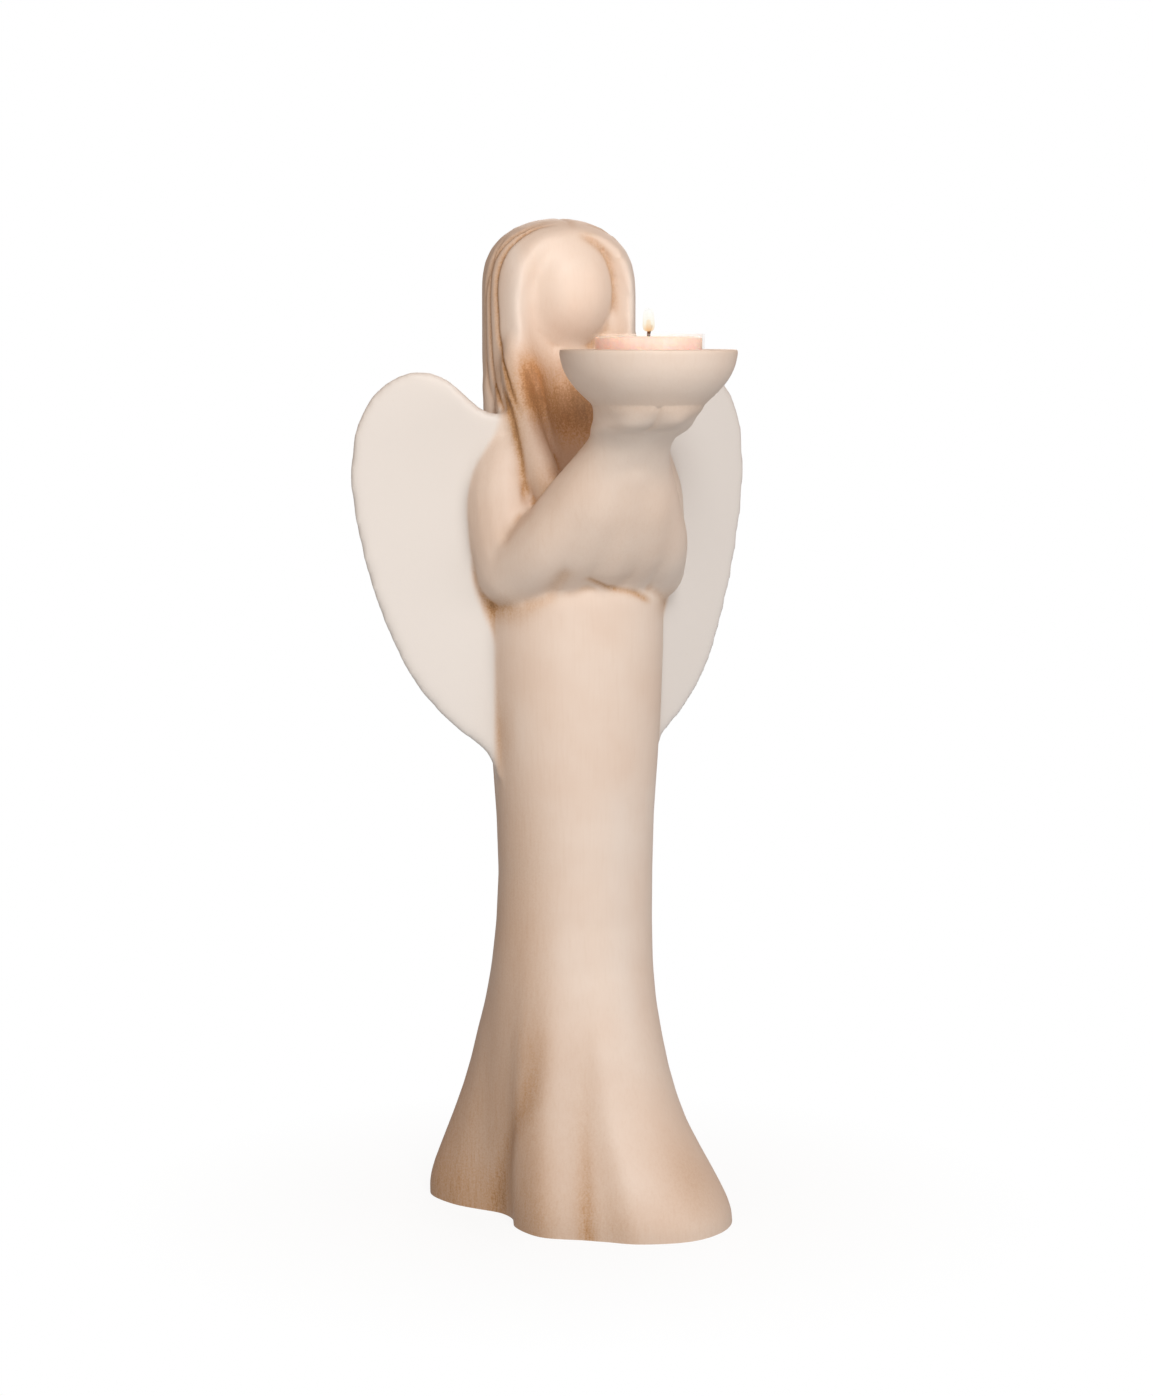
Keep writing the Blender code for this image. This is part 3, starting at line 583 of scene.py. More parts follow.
def closed_curve(points, per_side):
    """Points of a closed curve with automatic handles through the given ones."""
    count = len(points)
    knots = [Vector((p[0], p[1], 0.0)) for p in points]
    out = []
    for i in range(count):
        before, a, b, after = knots[i - 1], knots[i], knots[(i + 1) % count], knots[(i + 2) % count]
        handle_a = a + (b - before) / 6.0
        handle_b = b - (after - a) / 6.0
        run = interpolate_bezier(a, handle_a, handle_b, b, per_side + 1)
        out.extend(run[:-1])
    return out


def gown_ring(height, per_side, inset=0.0):
    """One level of the gown: an oval that turns into the folded hem."""
    half_w = eased(GOWN_LEVELS, height, 1)
    half_d = eased(GOWN_LEVELS, height, 2)
    share = max(0.0, min(1.0, eased(GOWN_LEVELS, height, 3)))
    sway = eased(GOWN_LEVELS, height, 4)
    back = eased(GOWN_LEVELS, height, 5)
    ring = []
    for point in closed_curve(HEM_FOLDS, per_side):
        angle = math.atan2(point.y, point.x)
        reach = 1.0 / math.hypot(math.cos(angle) / half_w, math.sin(angle) / half_d)
        oval = Vector((reach * math.cos(angle), reach * math.sin(angle), 0.0))
        spot = oval.lerp(point, share)
        if inset:
            spot = spot * max(0.2, 1.0 - inset / spot.length)
        ring.append(Vector((spot.x + sway, spot.y + back, height)))
    return ring


def hair_halves(height):
    """Half width and half depth of the hair at a height."""
    rise = max(0.0, (height - DOME_BASE_Z) / (CROWN_Z - DOME_BASE_Z))
    dome = math.sqrt(max(0.0, 1.0 - rise ** 2.7))
    fall = max(0.0, (HAIR_FALL_Z - height) / (HAIR_FALL_Z - HAIR_END_Z))
    width = HAIR_HALF_WIDTH * dome * (1.0 - 0.18 * fall)
    depth = HAIR_HALF_DEPTH * dome * (1.0 - 0.30 * fall)
    return width, depth


def hair_centre(height):
    """How far back the middle of the hair lies at a height."""
    rise = max(0.0, (height - DOME_BASE_Z) / (CROWN_Z - DOME_BASE_Z))
    fall = max(0.0, (HAIR_FALL_Z - height) / (HAIR_FALL_Z - HAIR_END_Z))
    return HEAD_Y + 1.0 * rise - 5.4 * fall


def hair_body():
    """The fall of hair with its domed crown."""
    levels = [HAIR_END_Z + (DOME_BASE_Z - HAIR_END_Z) * i / 8.0 for i in range(9)]
    for turn_deg in range(12, 85, 12):
        levels.append(DOME_BASE_Z + (CROWN_Z - DOME_BASE_Z) * math.sin(math.radians(turn_deg)))
    rings = []
    for height in levels:
        rings.append(oval_ring(64, *hair_halves(height), hair_centre(height), height))
    return loft(rings, "hair_body")


def face_hollow():
    """The spaces in front of the face and the neck, between the two falls of hair."""
    centre = (0.0, HOLLOW_CENTRE_Y, HOLLOW_CENTRE_Z)
    opening = ball(centre, (HOLLOW_HALF_WIDTH, HOLLOW_HALF_DEPTH, HOLLOW_HALF_HEIGHT), "opening")
    path = [(x, y, CROWN_Z - down, radius) for x, y, down, radius in NECK_OPENING]
    return opening, limb(path, "neck_opening")


def hair_with_hollow():
    """The hair, opened for the face and the neck."""
    hair = add_object("hair", hair_body())
    for mesh in face_hollow():
        boolean(hair, add_object("hollow", mesh), "DIFFERENCE")
    mesh = hair.data
    bpy.data.objects.remove(hair, do_unlink=True)
    return mesh


def side_locks(side):
    """The locks of one side, as limb paths."""
    locks = []
    for lock in (FRONT_LOCK, MIDDLE_LOCK, BACK_LOCK):
        locks.append([(side * x, y, CROWN_Z - down, radius) for x, y, down, radius in lock])
    return locks


def hands():
    """Both hands under the bowl: a cupped core that leans back into the wrists, and palms."""
    rings = [oval_ring(48, radius, radius, centre, height) for height, centre, radius in HAND_LEVELS]
    forms = [loft(rings, "hands")]
    x, y, z = PALM_CENTRE
    for side in (-1.0, 1.0):
        forms.append(ball((side * x, y, z), PALM_HALVES, "palm", PALM_TILT_DEG))
    return forms


def sleeves():
    """The loose front of the sleeves, drawn into one mass from elbow to elbow."""
    forms = [limb(SLEEVE_FRONT, "sleeve_front")]
    forms.append(ball(SLEEVE_FOLD_CENTRE, SLEEVE_FOLD_HALVES, "sleeve_fold", SLEEVE_FOLD_TILT_DEG))
    for side in (-1.0, 1.0):
        forms.append(limb(mirrored(SLEEVE_SIDE, side), "sleeve_side"))
    return forms


def wing(side):
    """A flat wing plate with rounded edges, upright and swept back."""
    curve = bpy.data.curves.new("wing_outline", "CURVE")
    curve.dimensions = "2D"
    curve.fill_mode = "BOTH"
    curve.resolution_u = 6
    curve.extrude = WING_THICKNESS * MM / 2.0
    spline = curve.splines.new("BEZIER")
    spline.bezier_points.add(len(WING_OUTLINE) - 1)
    lowest = min(height for out, height in WING_OUTLINE)
    lift = LEFT_TIP_LIFT if side > 0.0 else RIGHT_TIP_LIFT
    for point, (out, height) in zip(spline.bezier_points, WING_OUTLINE):
        raised = height + lift * max(0.0, 1.0 - (height - lowest) / WING_TIP_RANGE)
        point.co = (out * MM, raised * MM, 0.0)
        point.handle_left_type = "AUTO"
        point.handle_right_type = "AUTO"
    spline.use_cyclic_u = True
    obj = add_object("wing_outline", curve)
    upright = Matrix.Rotation(math.radians(90.0), 4, "X")
    sweep = Matrix.Rotation(math.radians(WING_SWEEP_DEG), 4, "Z")
    flip = Matrix.Diagonal((side, 1.0, 1.0, 1.0))
    root = Matrix.Translation((0.0, WING_ROOT_Y * MM, 0.0))
    mesh = evaluated_mesh(obj, "wing")
    mesh.transform(flip @ root @ sweep @ upright)
    bm = bmesh.new()
    bm.from_mesh(mesh)
    bmesh.ops.remove_doubles(bm, verts=bm.verts[:], dist=1e-6)
    return mesh_from(bm, "wing")


def growth():
    """From the sizes that the tables are drawn at to the overall sizes."""
    return Matrix.Diagonal((FIGURE_SPAN / DRAWN_AT[0], 1.0, FIGURE_HEIGHT / DRAWN_AT[1], 1.0))


def bowl_profile():
    """(radius, height) of the bowl's outline, from the middle of the seat round the rim to the foot."""
    floor = RIM_Z - SEAT_DEPTH
    inner = RIM_RADIUS - RIM_WIDTH
    return (
        (0.0, floor),
        (SEAT_RADIUS, floor),
        (SEAT_RADIUS + 2.6, floor + 0.9),
        (inner - 2.5, floor + 4.0),
        (inner - 0.5, RIM_Z - 2.6),
        (inner, RIM_Z - 0.5),
        (inner + 0.5, RIM_Z),
        (RIM_RADIUS - 0.6, RIM_Z),
        *((RIM_RADIUS - inward, RIM_Z - down) for inward, down in BOWL_WALL),
        (BOWL_FOOT_RADIUS, BOWL_FOOT_Z),
        (0.0, BOWL_FOOT_Z),
    )


def bowl_mesh():
    """The bowl, with all but the flat seat and foot of its outline on smooth curves."""
    return turned(rounded(bowl_profile(), set(range(1, 14))), "bowl", BOWL_Y)


def collar():
    """The clay under the bowl, as a closed turned mesh."""
    profile = [(0.0, RIM_Z - COLLAR[0][1])]
    profile += [(radius, RIM_Z - down) for radius, down in COLLAR]
    profile.append((0.0, RIM_Z - COLLAR[-1][1]))
    return turned(profile, "collar", BOWL_Y)


def bowl_root():
    """The bowl's underside, a little inside its wall, so that the hands run into it softly."""
    wall = [(RIM_RADIUS - inward, down) for inward, down in BOWL_WALL if down > ROOT_TOP]
    profile = [(0.0, RIM_Z - wall[0][1])]
    profile += [(radius - ROOT_INSET, RIM_Z - down) for radius, down in wall]
    profile += [(BOWL_FOOT_RADIUS, BOWL_FOOT_Z), (0.0, BOWL_FOOT_Z)]
    return turned(profile, "bowl_root", BOWL_Y)


def cavity_forms():
    """What is cut from the casting: the hollow inside, its vent, and all that lies under the floor."""
    rings = []
    for height in CAVITY_RINGS:
        near_end = max(0.0, (height - CAVITY_TAPER_Z) / (CAVITY_TOP - CAVITY_TAPER_Z))
        shrink = 1.0 - CAVITY_TAPER * near_end
        ring = gown_ring(float(height), 3, WALL)
        rings.append([Vector((p.x * shrink, p.y * shrink, p.z)) for p in ring])
    mesh = loft(rings, "cavity")
    mesh.transform(growth())
    hollow = add_object("cavity", mesh)
    bm = bmesh.new()
    bmesh.ops.create_cone(
        bm, cap_ends=True, segments=48, radius1=VENT_RADIUS * MM, radius2=VENT_RADIUS * MM,
        depth=2.4 * CAVITY_FLOOR * MM, matrix=Matrix.Translation((0.0, VENT_Y * MM, 0.0)),
    )
    vent = add_object("vent", mesh_from(bm, "vent"))
    bm = bmesh.new()
    under = Matrix.Translation((0.0, 0.0, -CUT_DEPTH * MM / 2.0))
    under = under @ Matrix.Diagonal((CUT_SPAN * MM, CUT_SPAN * MM, CUT_DEPTH * MM, 1.0))
    bmesh.ops.create_cube(bm, size=1.0, matrix=under)
    return hollow, vent, add_object("under", mesh_from(bm, "under"))


def casting_forms():
    """Gown, arms, hair and wings as overlapping closed forms."""
    parts = [loft([gown_ring(float(height), 8) for height in GOWN_RINGS], "gown"), hair_with_hollow()]
    parts.append(ball(
        (0.0, FACE_CENTRE_Y, FACE_CENTRE_Z),
        (FACE_HALF_WIDTH, FACE_HALF_DEPTH, FACE_HALF_HEIGHT), "face",
    ))
    for side in (-1.0, 1.0):
        parts.append(limb(mirrored(UPPER_ARM, side), "upper_arm"))
        parts.append(limb(mirrored(FOREARM, side), "forearm"))
        parts.append(wing(side))
        for path in side_locks(side):
            parts.append(limb(path, "lock"))
    parts.extend(sleeves())
    parts.extend(hands())
    mesh = merged(parts, "casting_forms")
    mesh.transform(growth())
    return merged([mesh, collar(), bowl_root()], "casting_forms")


def skin(obj):
    """Joins the forms under one even skin."""
    mod = obj.modifiers.new("skin", "REMESH")
    mod.mode = "VOXEL"
    mod.voxel_size = SKIN_VOXEL * MM
    ease = obj.modifiers.new("ease", "SMOOTH")
    ease.factor = 0.5
    ease.iterations = SKIN_ROUNDS
    mesh = evaluated_copy(obj)
    obj.modifiers.clear()
    obj.data = mesh


def vertex_array(mesh, field="co"):
    data = np.empty(len(mesh.vertices) * 3, dtype=np.float32)
    if field == "co":
        mesh.vertices.foreach_get("co", data)
    else:
        mesh.vertex_normals.foreach_get("vector", data)
    return data.reshape(-1, 3).astype(np.float64)


def set_points(mesh, points):
    mesh.vertices.foreach_set("co", points.astype(np.float32).ravel())
    mesh.update()


def edge_array(mesh):
    edges = np.empty(len(mesh.edges) * 2, dtype=np.int32)
    mesh.edges.foreach_get("vertices", edges)
    return edges.reshape(-1, 2)


def relaxed(points, edges, rounds):
    """Points after so many rounds of evening out with their neighbours."""
    count = len(points)
    a, b = edges[:, 0], edges[:, 1]
    links = np.bincount(np.concatenate((a, b)), minlength=count).astype(np.float64)
    links = np.maximum(links, 1.0)[:, None]
    ends, starts = np.concatenate((a, b)), np.concatenate((b, a))
    for _ in range(rounds):
        total = np.stack([np.bincount(ends, points[starts, k], minlength=count) for k in range(3)], axis=1)
        points = points + 0.5 * (total / links - points)
    return points


def line_distance(points, line):
    """Distance of each point to a line through the given points, and how far along it lies."""
    knots = np.array(line) * MM
    best = np.full(len(points), 1e9)
    along = np.zeros(len(points))
    lengths = np.linalg.norm(np.diff(knots, axis=0), axis=1)
    total = lengths.sum()
    start = 0.0
    for a, b, length in zip(knots, knots[1:], lengths):
        t = np.clip(((points - a) @ (b - a)) / length ** 2, 0.0, 1.0)
        gap = np.linalg.norm(points - (a + t[:, None] * (b - a)), axis=1)
        closer = gap < best
        best = np.where(closer, gap, best)
        along = np.where(closer, (start + t * length) / total, along)
        start += length
    return best, along


def smooth_line(line):
    """The line with rounded corners."""
    out = []
    for i in range(len(line) - 1):
        a, b = Vector(line[i]), Vector(line[i + 1])
        before = Vector(line[max(i - 1, 0)])
        after = Vector(line[min(i + 2, len(line) - 1)])
        run = interpolate_bezier(a, a + (b - before) / 6.0, b - (after - a) / 6.0, b, 6)
        out.extend(tuple(p) for p in run[:-1])
    out.append(tuple(line[-1]))
    return out


def both_sides(lines):
    """The lines, and their mirror images."""
    return list(lines) + [(*head, [(-x, y, z) for x, y, z in line]) for *head, line in lines]


def drawn():
    """All lines that are drawn into the clay."""
    return both_sides(HAIR_LINES + SIDE_CREASES) + [PARTING, *FRONT_CREASES]


def ramp(value, low, high):
    """0 at the first value, 1 at the second, and even between; it falls where the second is lower."""
    return np.clip((value - low) / (high - low), 0.0, 1.0)


def eased_step(value, low, high):
    """A ramp with soft ends."""
    t = ramp(value, low, high)
    return t * t * (3.0 - 2.0 * t)


def bell(gap, half_width):
    """1 on a line and fading out beside it; the gap is in metres, the half width in mm."""
    return np.exp(-(gap / (half_width * MM)) ** 2)


def zone(points, ranges):
    """1 inside a zone of soft ranges, 0 outside."""
    x, y, z = points.T / MM
    reach = {"out": np.abs(x), "x": x, "y": y, "z": z}
    share = np.ones(len(points))
    for direction, start, full in ranges:
        share = share * eased_step(reach[direction], start, full)
    return share


def spot(points, centre, reach, mirrored=True):
    """1 at the centre of a soft spot, which lies on both sides where it is mirrored."""
    at = points / MM
    if mirrored:
        at[:, 0] = np.abs(at[:, 0])
    gap = np.zeros(len(points))
    for k in range(3):
        if centre[k] is not None:
            gap = gap + ((at[:, k] - centre[k]) / reach[k]) ** 2
    return np.exp(-gap)


def wing_share(points):
    """1 on the wing plates clear of the body, 0 elsewhere."""
    sweep = math.radians(WING_SWEEP_DEG)
    x, y, z = np.abs(points[:, 0]) / MM, points[:, 1] / MM - WING_ROOT_Y, points[:, 2] / MM
    out = x * math.cos(sweep) + y * math.sin(sweep)
    off = np.abs(-x * math.sin(sweep) + y * math.cos(sweep))
    inner = WING_CLEAR_OUT + WING_CLEAR_ELBOW * eased_step(z, 205.0, 232.0)
    inner = inner + WING_CLEAR_SHOULDER * eased_step(z, 264.0, 288.0)
    return eased_step(out, inner, inner + 3.0) * eased_step(off, 4.6, 3.2) * (z > WING_CLEAR_FOOT)


def hood_edge(points):
    """1 along the rim and hollow round the face, less on its left side, 0 elsewhere."""
    return zone(points, HOOD_EDGE) * (1.0 - 0.75 * eased_step(points[:, 0] / MM, -2.0, 10.0))


def throat(points):
    """1 on the neck and the inner sides of the hair below the face, 0 elsewhere."""
    return zone(points, THROAT) * (points[:, 1] / MM < THROAT_BACK_Y)


def lit_hair_band(points):
    """1 on the front band of the hair beside the face, painted lighter as a highlight, 0 elsewhere."""
    strip = spot(points, (LIT_HAIR_BAND_OUT, None, None), (LIT_HAIR_BAND_HALF_WIDTH, None, None))
    return strip * zone(points, LIT_HAIR_BAND)


def sleeve_front(points):
    """The share of softening on the open front of the sleeves."""
    return SLEEVE_SOFTENING_SHARE * zone(points, SLEEVE_OPEN) * (points[:, 2] / MM < SLEEVE_OPEN_TOP)


def soften(mesh):
    """Evens out the rim round the face, the front of the sleeves and the wings."""
    points = vertex_array(mesh)
    edges = edge_array(mesh)
    wiped = ((RIM_SOFTENING, hood_edge), (SLEEVE_SOFTENING, sleeve_front), (WING_SOFTENING, wing_share))
    for rounds, share in wiped:
        points = points + (relaxed(points, edges, rounds) - points) * share(points)[:, None]
    set_points(mesh, points)


def refine_near_lines(mesh):
    """Halves the skin's edges beside the drawn lines, so that the lines come out crisp."""
    points = vertex_array(mesh)
    near = np.zeros(len(points), dtype=bool)
    for depth, width, share, line in drawn():
        near |= line_distance(points, smooth_line(line))[0] < REFINED_REACH * MM
    bm = bmesh.new()
    bm.from_mesh(mesh)
    edges = [e for e in bm.edges if near[e.verts[0].index] and near[e.verts[1].index]]
    bmesh.ops.subdivide_edges(bm, edges=edges, cuts=1, use_grid_fill=True, smooth=0.6)
    bm.to_mesh(mesh)
    bm.free()


def drawn_lines(points):
    """How deep every line sinks each point, and how much wash and painted shade it holds."""
    sink = np.zeros(len(points))
    wash_and_shade = np.zeros(len(points))
    for depth, width, share, line in drawn():
        gap, along = line_distance(points, smooth_line(line))
        fade = eased_step(np.minimum(along, 1.0 - along), 0.0, LINE_FADE)
        sink = np.maximum(sink, depth * MM * bell(gap, width) * fade)
        wash_and_shade = np.maximum(wash_and_shade, share * bell(gap, LINE_WASH_SPREAD * width) * fade)
    return sink, wash_and_shade


def skirt_folds(points, sink, wash_and_shade):
    """Adds the skirt's sharp fold with its wash, and its broad valley with painted shade."""
    gap, along = line_distance(points, smooth_line(SKIRT_FOLD))
    fade = eased_step(along, 0.0, 0.9)
    held = (SKIRT_FOLD_WASH + SKIRT_FOLD_WASH_GAIN * along) * fade
    sink = np.maximum(sink, SKIRT_FOLD_DEPTH * MM * bell(gap, SKIRT_FOLD_HALF_WIDTH) * fade)
    wash_and_shade = np.maximum(wash_and_shade, held * bell(gap, SKIRT_FOLD_WASH_SPREAD * SKIRT_FOLD_HALF_WIDTH))
    gap, along = line_distance(points, smooth_line(SKIRT_VALLEY))
    soft = bell(gap, SKIRT_VALLEY_HALF_WIDTH) * eased_step(along, 0.0, 0.5)
    # the valley's darkening is painted shade
    return sink + SKIRT_VALLEY_DEPTH * MM * soft, wash_and_shade + SKIRT_VALLEY_SHADE * soft


def palm_swells(points):
    """How far the two palms stand out under the bowl."""
    rise = np.zeros(len(points))
    for height, across, upright, centre in PALM_SWELLS:
        offset = points / MM - np.array(centre)
        level = np.hypot(offset[:, 0], offset[:, 1])
        rise = rise + height * MM * np.exp(-(level / across) ** 2 - (offset[:, 2] / upright) ** 2)
    return rise


def combed_hair(points):
    """Shallow upright furrows all round the back of the hair, which sway a little."""
    x, y, z = points.T / MM
    turn = np.arctan2(y - HEAD_Y, x)
    share = ramp(y, 15.0, 21.0) * ramp(np.hypot(x, y - HEAD_Y), 12.0, 18.0)
    share = share * ramp(z, 236.0, 250.0) * ramp(z, 356.0, 348.0)
    clear_of_wings = (np.abs(x) < 34.0) & (y < 46.0)
    wave = np.sin(turn * FURROWS + 0.9 * np.sin(z / 23.0) + 0.5 * np.sin(z / 9.0 + turn * 3.0))
    return np.where(clear_of_wings, share, 0.0) * np.clip(wave, 0.0, 1.0) ** 2 * FURROW_DEPTH * MM


def carve(mesh):
    """Sinks lines, folds and combing into the skin, raises the palms, and gives the lines' wash and painted
    shade.
    """
    points = vertex_array(mesh)
    sink, wash_and_shade = skirt_folds(points, *drawn_lines(points))
    sink = sink - palm_swells(points) + combed_hair(points)
    set_points(mesh, points - vertex_array(mesh, "normal") * sink[:, None])
    return wash_and_shade


def hollow_wash_and_shade(points, edges, normals, rim):
    """Wash that settled in hollows, and painted shade in the broader recesses; less of it round the face
    and on the throat.
    """
    wash_and_shade = np.zeros(len(points))
    even = points
    for rounds, share, start, full in (FINE_HOLLOWS, BROAD_HOLLOWS):
        even = relaxed(even, edges, rounds)
        hollow = ((even - points) * normals).sum(axis=1) / MM
        wash_and_shade = wash_and_shade + share * eased_step(hollow, start, full)
    wash_and_shade = wash_and_shade * (1.0 - RIM_WIPED * rim * eased_step(points[:, 0] / MM, 9.0, 2.0))
    return wash_and_shade * (1.0 - THROAT_WIPED * throat(points))


def broad_wash_and_shade(points, normals):
    """Wash and painted shade on open faces: at the hem, on the right side and in the spots."""
    x, y = points[:, 0] / MM, points[:, 1] / MM
    wash_and_shade = sum(share * zone(points, ranges) for share, ranges in HEM_WASH_AND_SHADE)
    share, centre, reach = HEM_SPOT
    wash_and_shade = wash_and_shade + share * spot(points, centre, reach, mirrored=False)
    # painted shade on faces turned to the figure's right, away from the key light
    shaded_side = eased_step(-normals[:, 0], 0.25, 0.95) * (np.abs(x) < WING_TIPS_OUT)
    wash_and_shade = wash_and_shade + (SIDE_SHADE + SKIRT_SIDE_SHADE * zone(points, SKIRT_SIDE)) * shaded_side
    for share, centre, reach, ranges, stop in WASH_AND_SHADE_SPOTS:
        wash_and_shade = wash_and_shade + share * spot(points, centre, reach) * zone(points, ranges) * (y < stop)
    return np.clip(wash_and_shade, 0.0, 1.0)


def pale_and_highlight_share(points):
    """Pale clay on the wings, and painted highlights on a stripe of the skirt and on the front band of the
    hair.
    """
    gap, along = line_distance(points, smooth_line(SKIRT_HIGHLIGHT_STRIPE))
    # painted highlight along the skirt's stripe
    wiped = SKIRT_HIGHLIGHT_SHARE * bell(gap, SKIRT_HIGHLIGHT_HALF_WIDTH) * eased_step(along, 1.0, 0.55)
    return np.maximum(wing_share(points), np.maximum(wiped, LIT_HAIR_BAND_SHARE * lit_hair_band(points)))


def draw_wash_and_shade(mesh):
    """Finishes the skin, and gives its points with their shares of tan wash and painted shade, and of pale
    clay and painted highlight.
    """
    soften(mesh)
    refine_near_lines(mesh)
    rim = hood_edge(vertex_array(mesh))
    line_wash_and_shade = carve(mesh)
    points = vertex_array(mesh)
    normals = vertex_array(mesh, "normal")
    wash_and_shade = np.maximum(hollow_wash_and_shade(points, edge_array(mesh), normals, rim), line_wash_and_shade)
    wash_and_shade = np.clip(wash_and_shade + broad_wash_and_shade(points, normals), 0.0, MOST_WASH_AND_SHADE)
    wash_and_shade = wash_and_shade * (1.0 - PALMS_WIPED * zone(points, PALMS))
    return points, wash_and_shade, pale_and_highlight_share(points)


def carry_over(mesh, points, values):
    """Gives the finished mesh each value of the nearest point of the skin."""
    tree = KDTree(len(points))
    for i, point in enumerate(points):
        tree.insert(point, i)
    tree.balance()
    near = [tree.find(v.co)[1:] for v in mesh.vertices]
    for name, array in values.items():
        layer = mesh.attributes.new(name, "FLOAT", "POINT")
        data = [float(array[i]) if gap < CARRY_REACH * MM else 0.0 for i, gap in near]
        layer.data.foreach_set("value", data)


def finish_bowl_wash_and_shade(mesh):
    """The bowl: a wiped wall, and a little painted shadow where it meets the hands."""
    points = vertex_array(mesh)
    wash_and_shade = np.empty(len(points), dtype=np.float32)
    mesh.attributes["wash_and_shade"].data.foreach_get("value", wash_and_shade)
    reach = np.hypot(points[:, 0], points[:, 1] - BOWL_Y * MM) / MM
    down = RIM_Z - points[:, 2] / MM
    near = (reach < RIM_RADIUS + 1.0) & (down < BOWL_ZONE_DOWN)
    # painted shadow under the bowl, where it meets the hands
    join_shade = BOWL_JOIN_SHADE * np.exp(-((down - BOWL_JOIN_DOWN) / BOWL_JOIN_REACH) ** 2)
    wash_and_shade = np.where(near & (down < BOWL_WIPED_DOWN), 0.0, wash_and_shade)
    wash_and_shade = np.where(near & (reach > HANDS_CORE_RADIUS), np.maximum(wash_and_shade, join_shade), wash_and_shade)
    mesh.attributes["wash_and_shade"].data.foreach_set("value", wash_and_shade.astype(np.float32))


def srgb(code):
    """Linear colour of an sRGB hex code."""
    out = []
    for i in (0, 2, 4):
        c = int(code[i:i + 2], 16) / 255.0
        out.append(c / 12.92 if c <= 0.04045 else ((c + 0.055) / 1.055) ** 2.4)
    return (*out, 1.0)


def feed(tree, socket, value):
    """Links a source to the socket, or sets the socket's own value."""
    if isinstance(value, bpy.types.NodeSocket):
        tree.links.new(value, socket)
    else:
        socket.default_value = value


def dress(tree, shader, **values):
    """Feeds the shader's sockets, named with _ for each space."""
    for name, value in values.items():
        feed(tree, shader.inputs[name.replace("_", " ")], value)


def node(tree, kind, links=(), **values):
    """Adds a shader node; values set its own fields or its sockets, links join sockets to it."""
    item = tree.nodes.new(kind)
    for key, value in values.items():
        if hasattr(item, key):
            setattr(item, key, value)
        else:
            item.inputs[key.replace("_", " ")].default_value = value
    for socket, source in links:
        tree.links.new(source, item.inputs[socket])
    return item


def new_material(name):
    mat = bpy.data.materials.new(name)
    mat.use_nodes = True
    tree = mat.node_tree
    return mat, tree, tree.nodes["Principled BSDF"]


def mix(tree, factor, a, b):
    """Colour mix; a and b are sockets or colours."""
    item = tree.nodes.new("ShaderNodeMix")
    item.data_type = "RGBA"
    for i, value in ((0, factor), (6, a), (7, b)):
        feed(tree, item.inputs[i], value)
    return item.outputs[2]


def maths(tree, operation, a, b=0.0, clamp=False):
    item = tree.nodes.new("ShaderNodeMath")
    item.operation = operation
    item.use_clamp = clamp
    for i, value in enumerate((a, b)):
        feed(tree, item.inputs[i], value)
    return item.outputs[0]


def span(tree, value, low, high, to_low=0.0, to_high=1.0):
    item = node(tree, "ShaderNodeMapRange", ((0, value),))
    for i, number in enumerate((low, high, to_low, to_high)):
        item.inputs[i + 1].default_value = number
    return item.outputs[0]


def grain(tree, cell, detail=3.0, stretch=(1.0, 1.0, 1.0)):
    """Noise on Object coordinates with cells of so many mm, packed closer by stretch along X, Y and Z."""
    coords = node(tree, "ShaderNodeTexCoord")
    turn = node(tree, "ShaderNodeMapping", ((0, coords.outputs["Object"]),))
    turn.inputs["Scale"].default_value = tuple(share / (cell * MM) for share in stretch)
    noise = node(tree, "ShaderNodeTexNoise", ((0, turn.outputs[0]),), Scale=1.0, Detail=detail)
    return noise.outputs[0]


def attribute(tree, name):
    item = tree.nodes.new("ShaderNodeAttribute")
    item.attribute_name = name
    return item.outputs["Fac"]


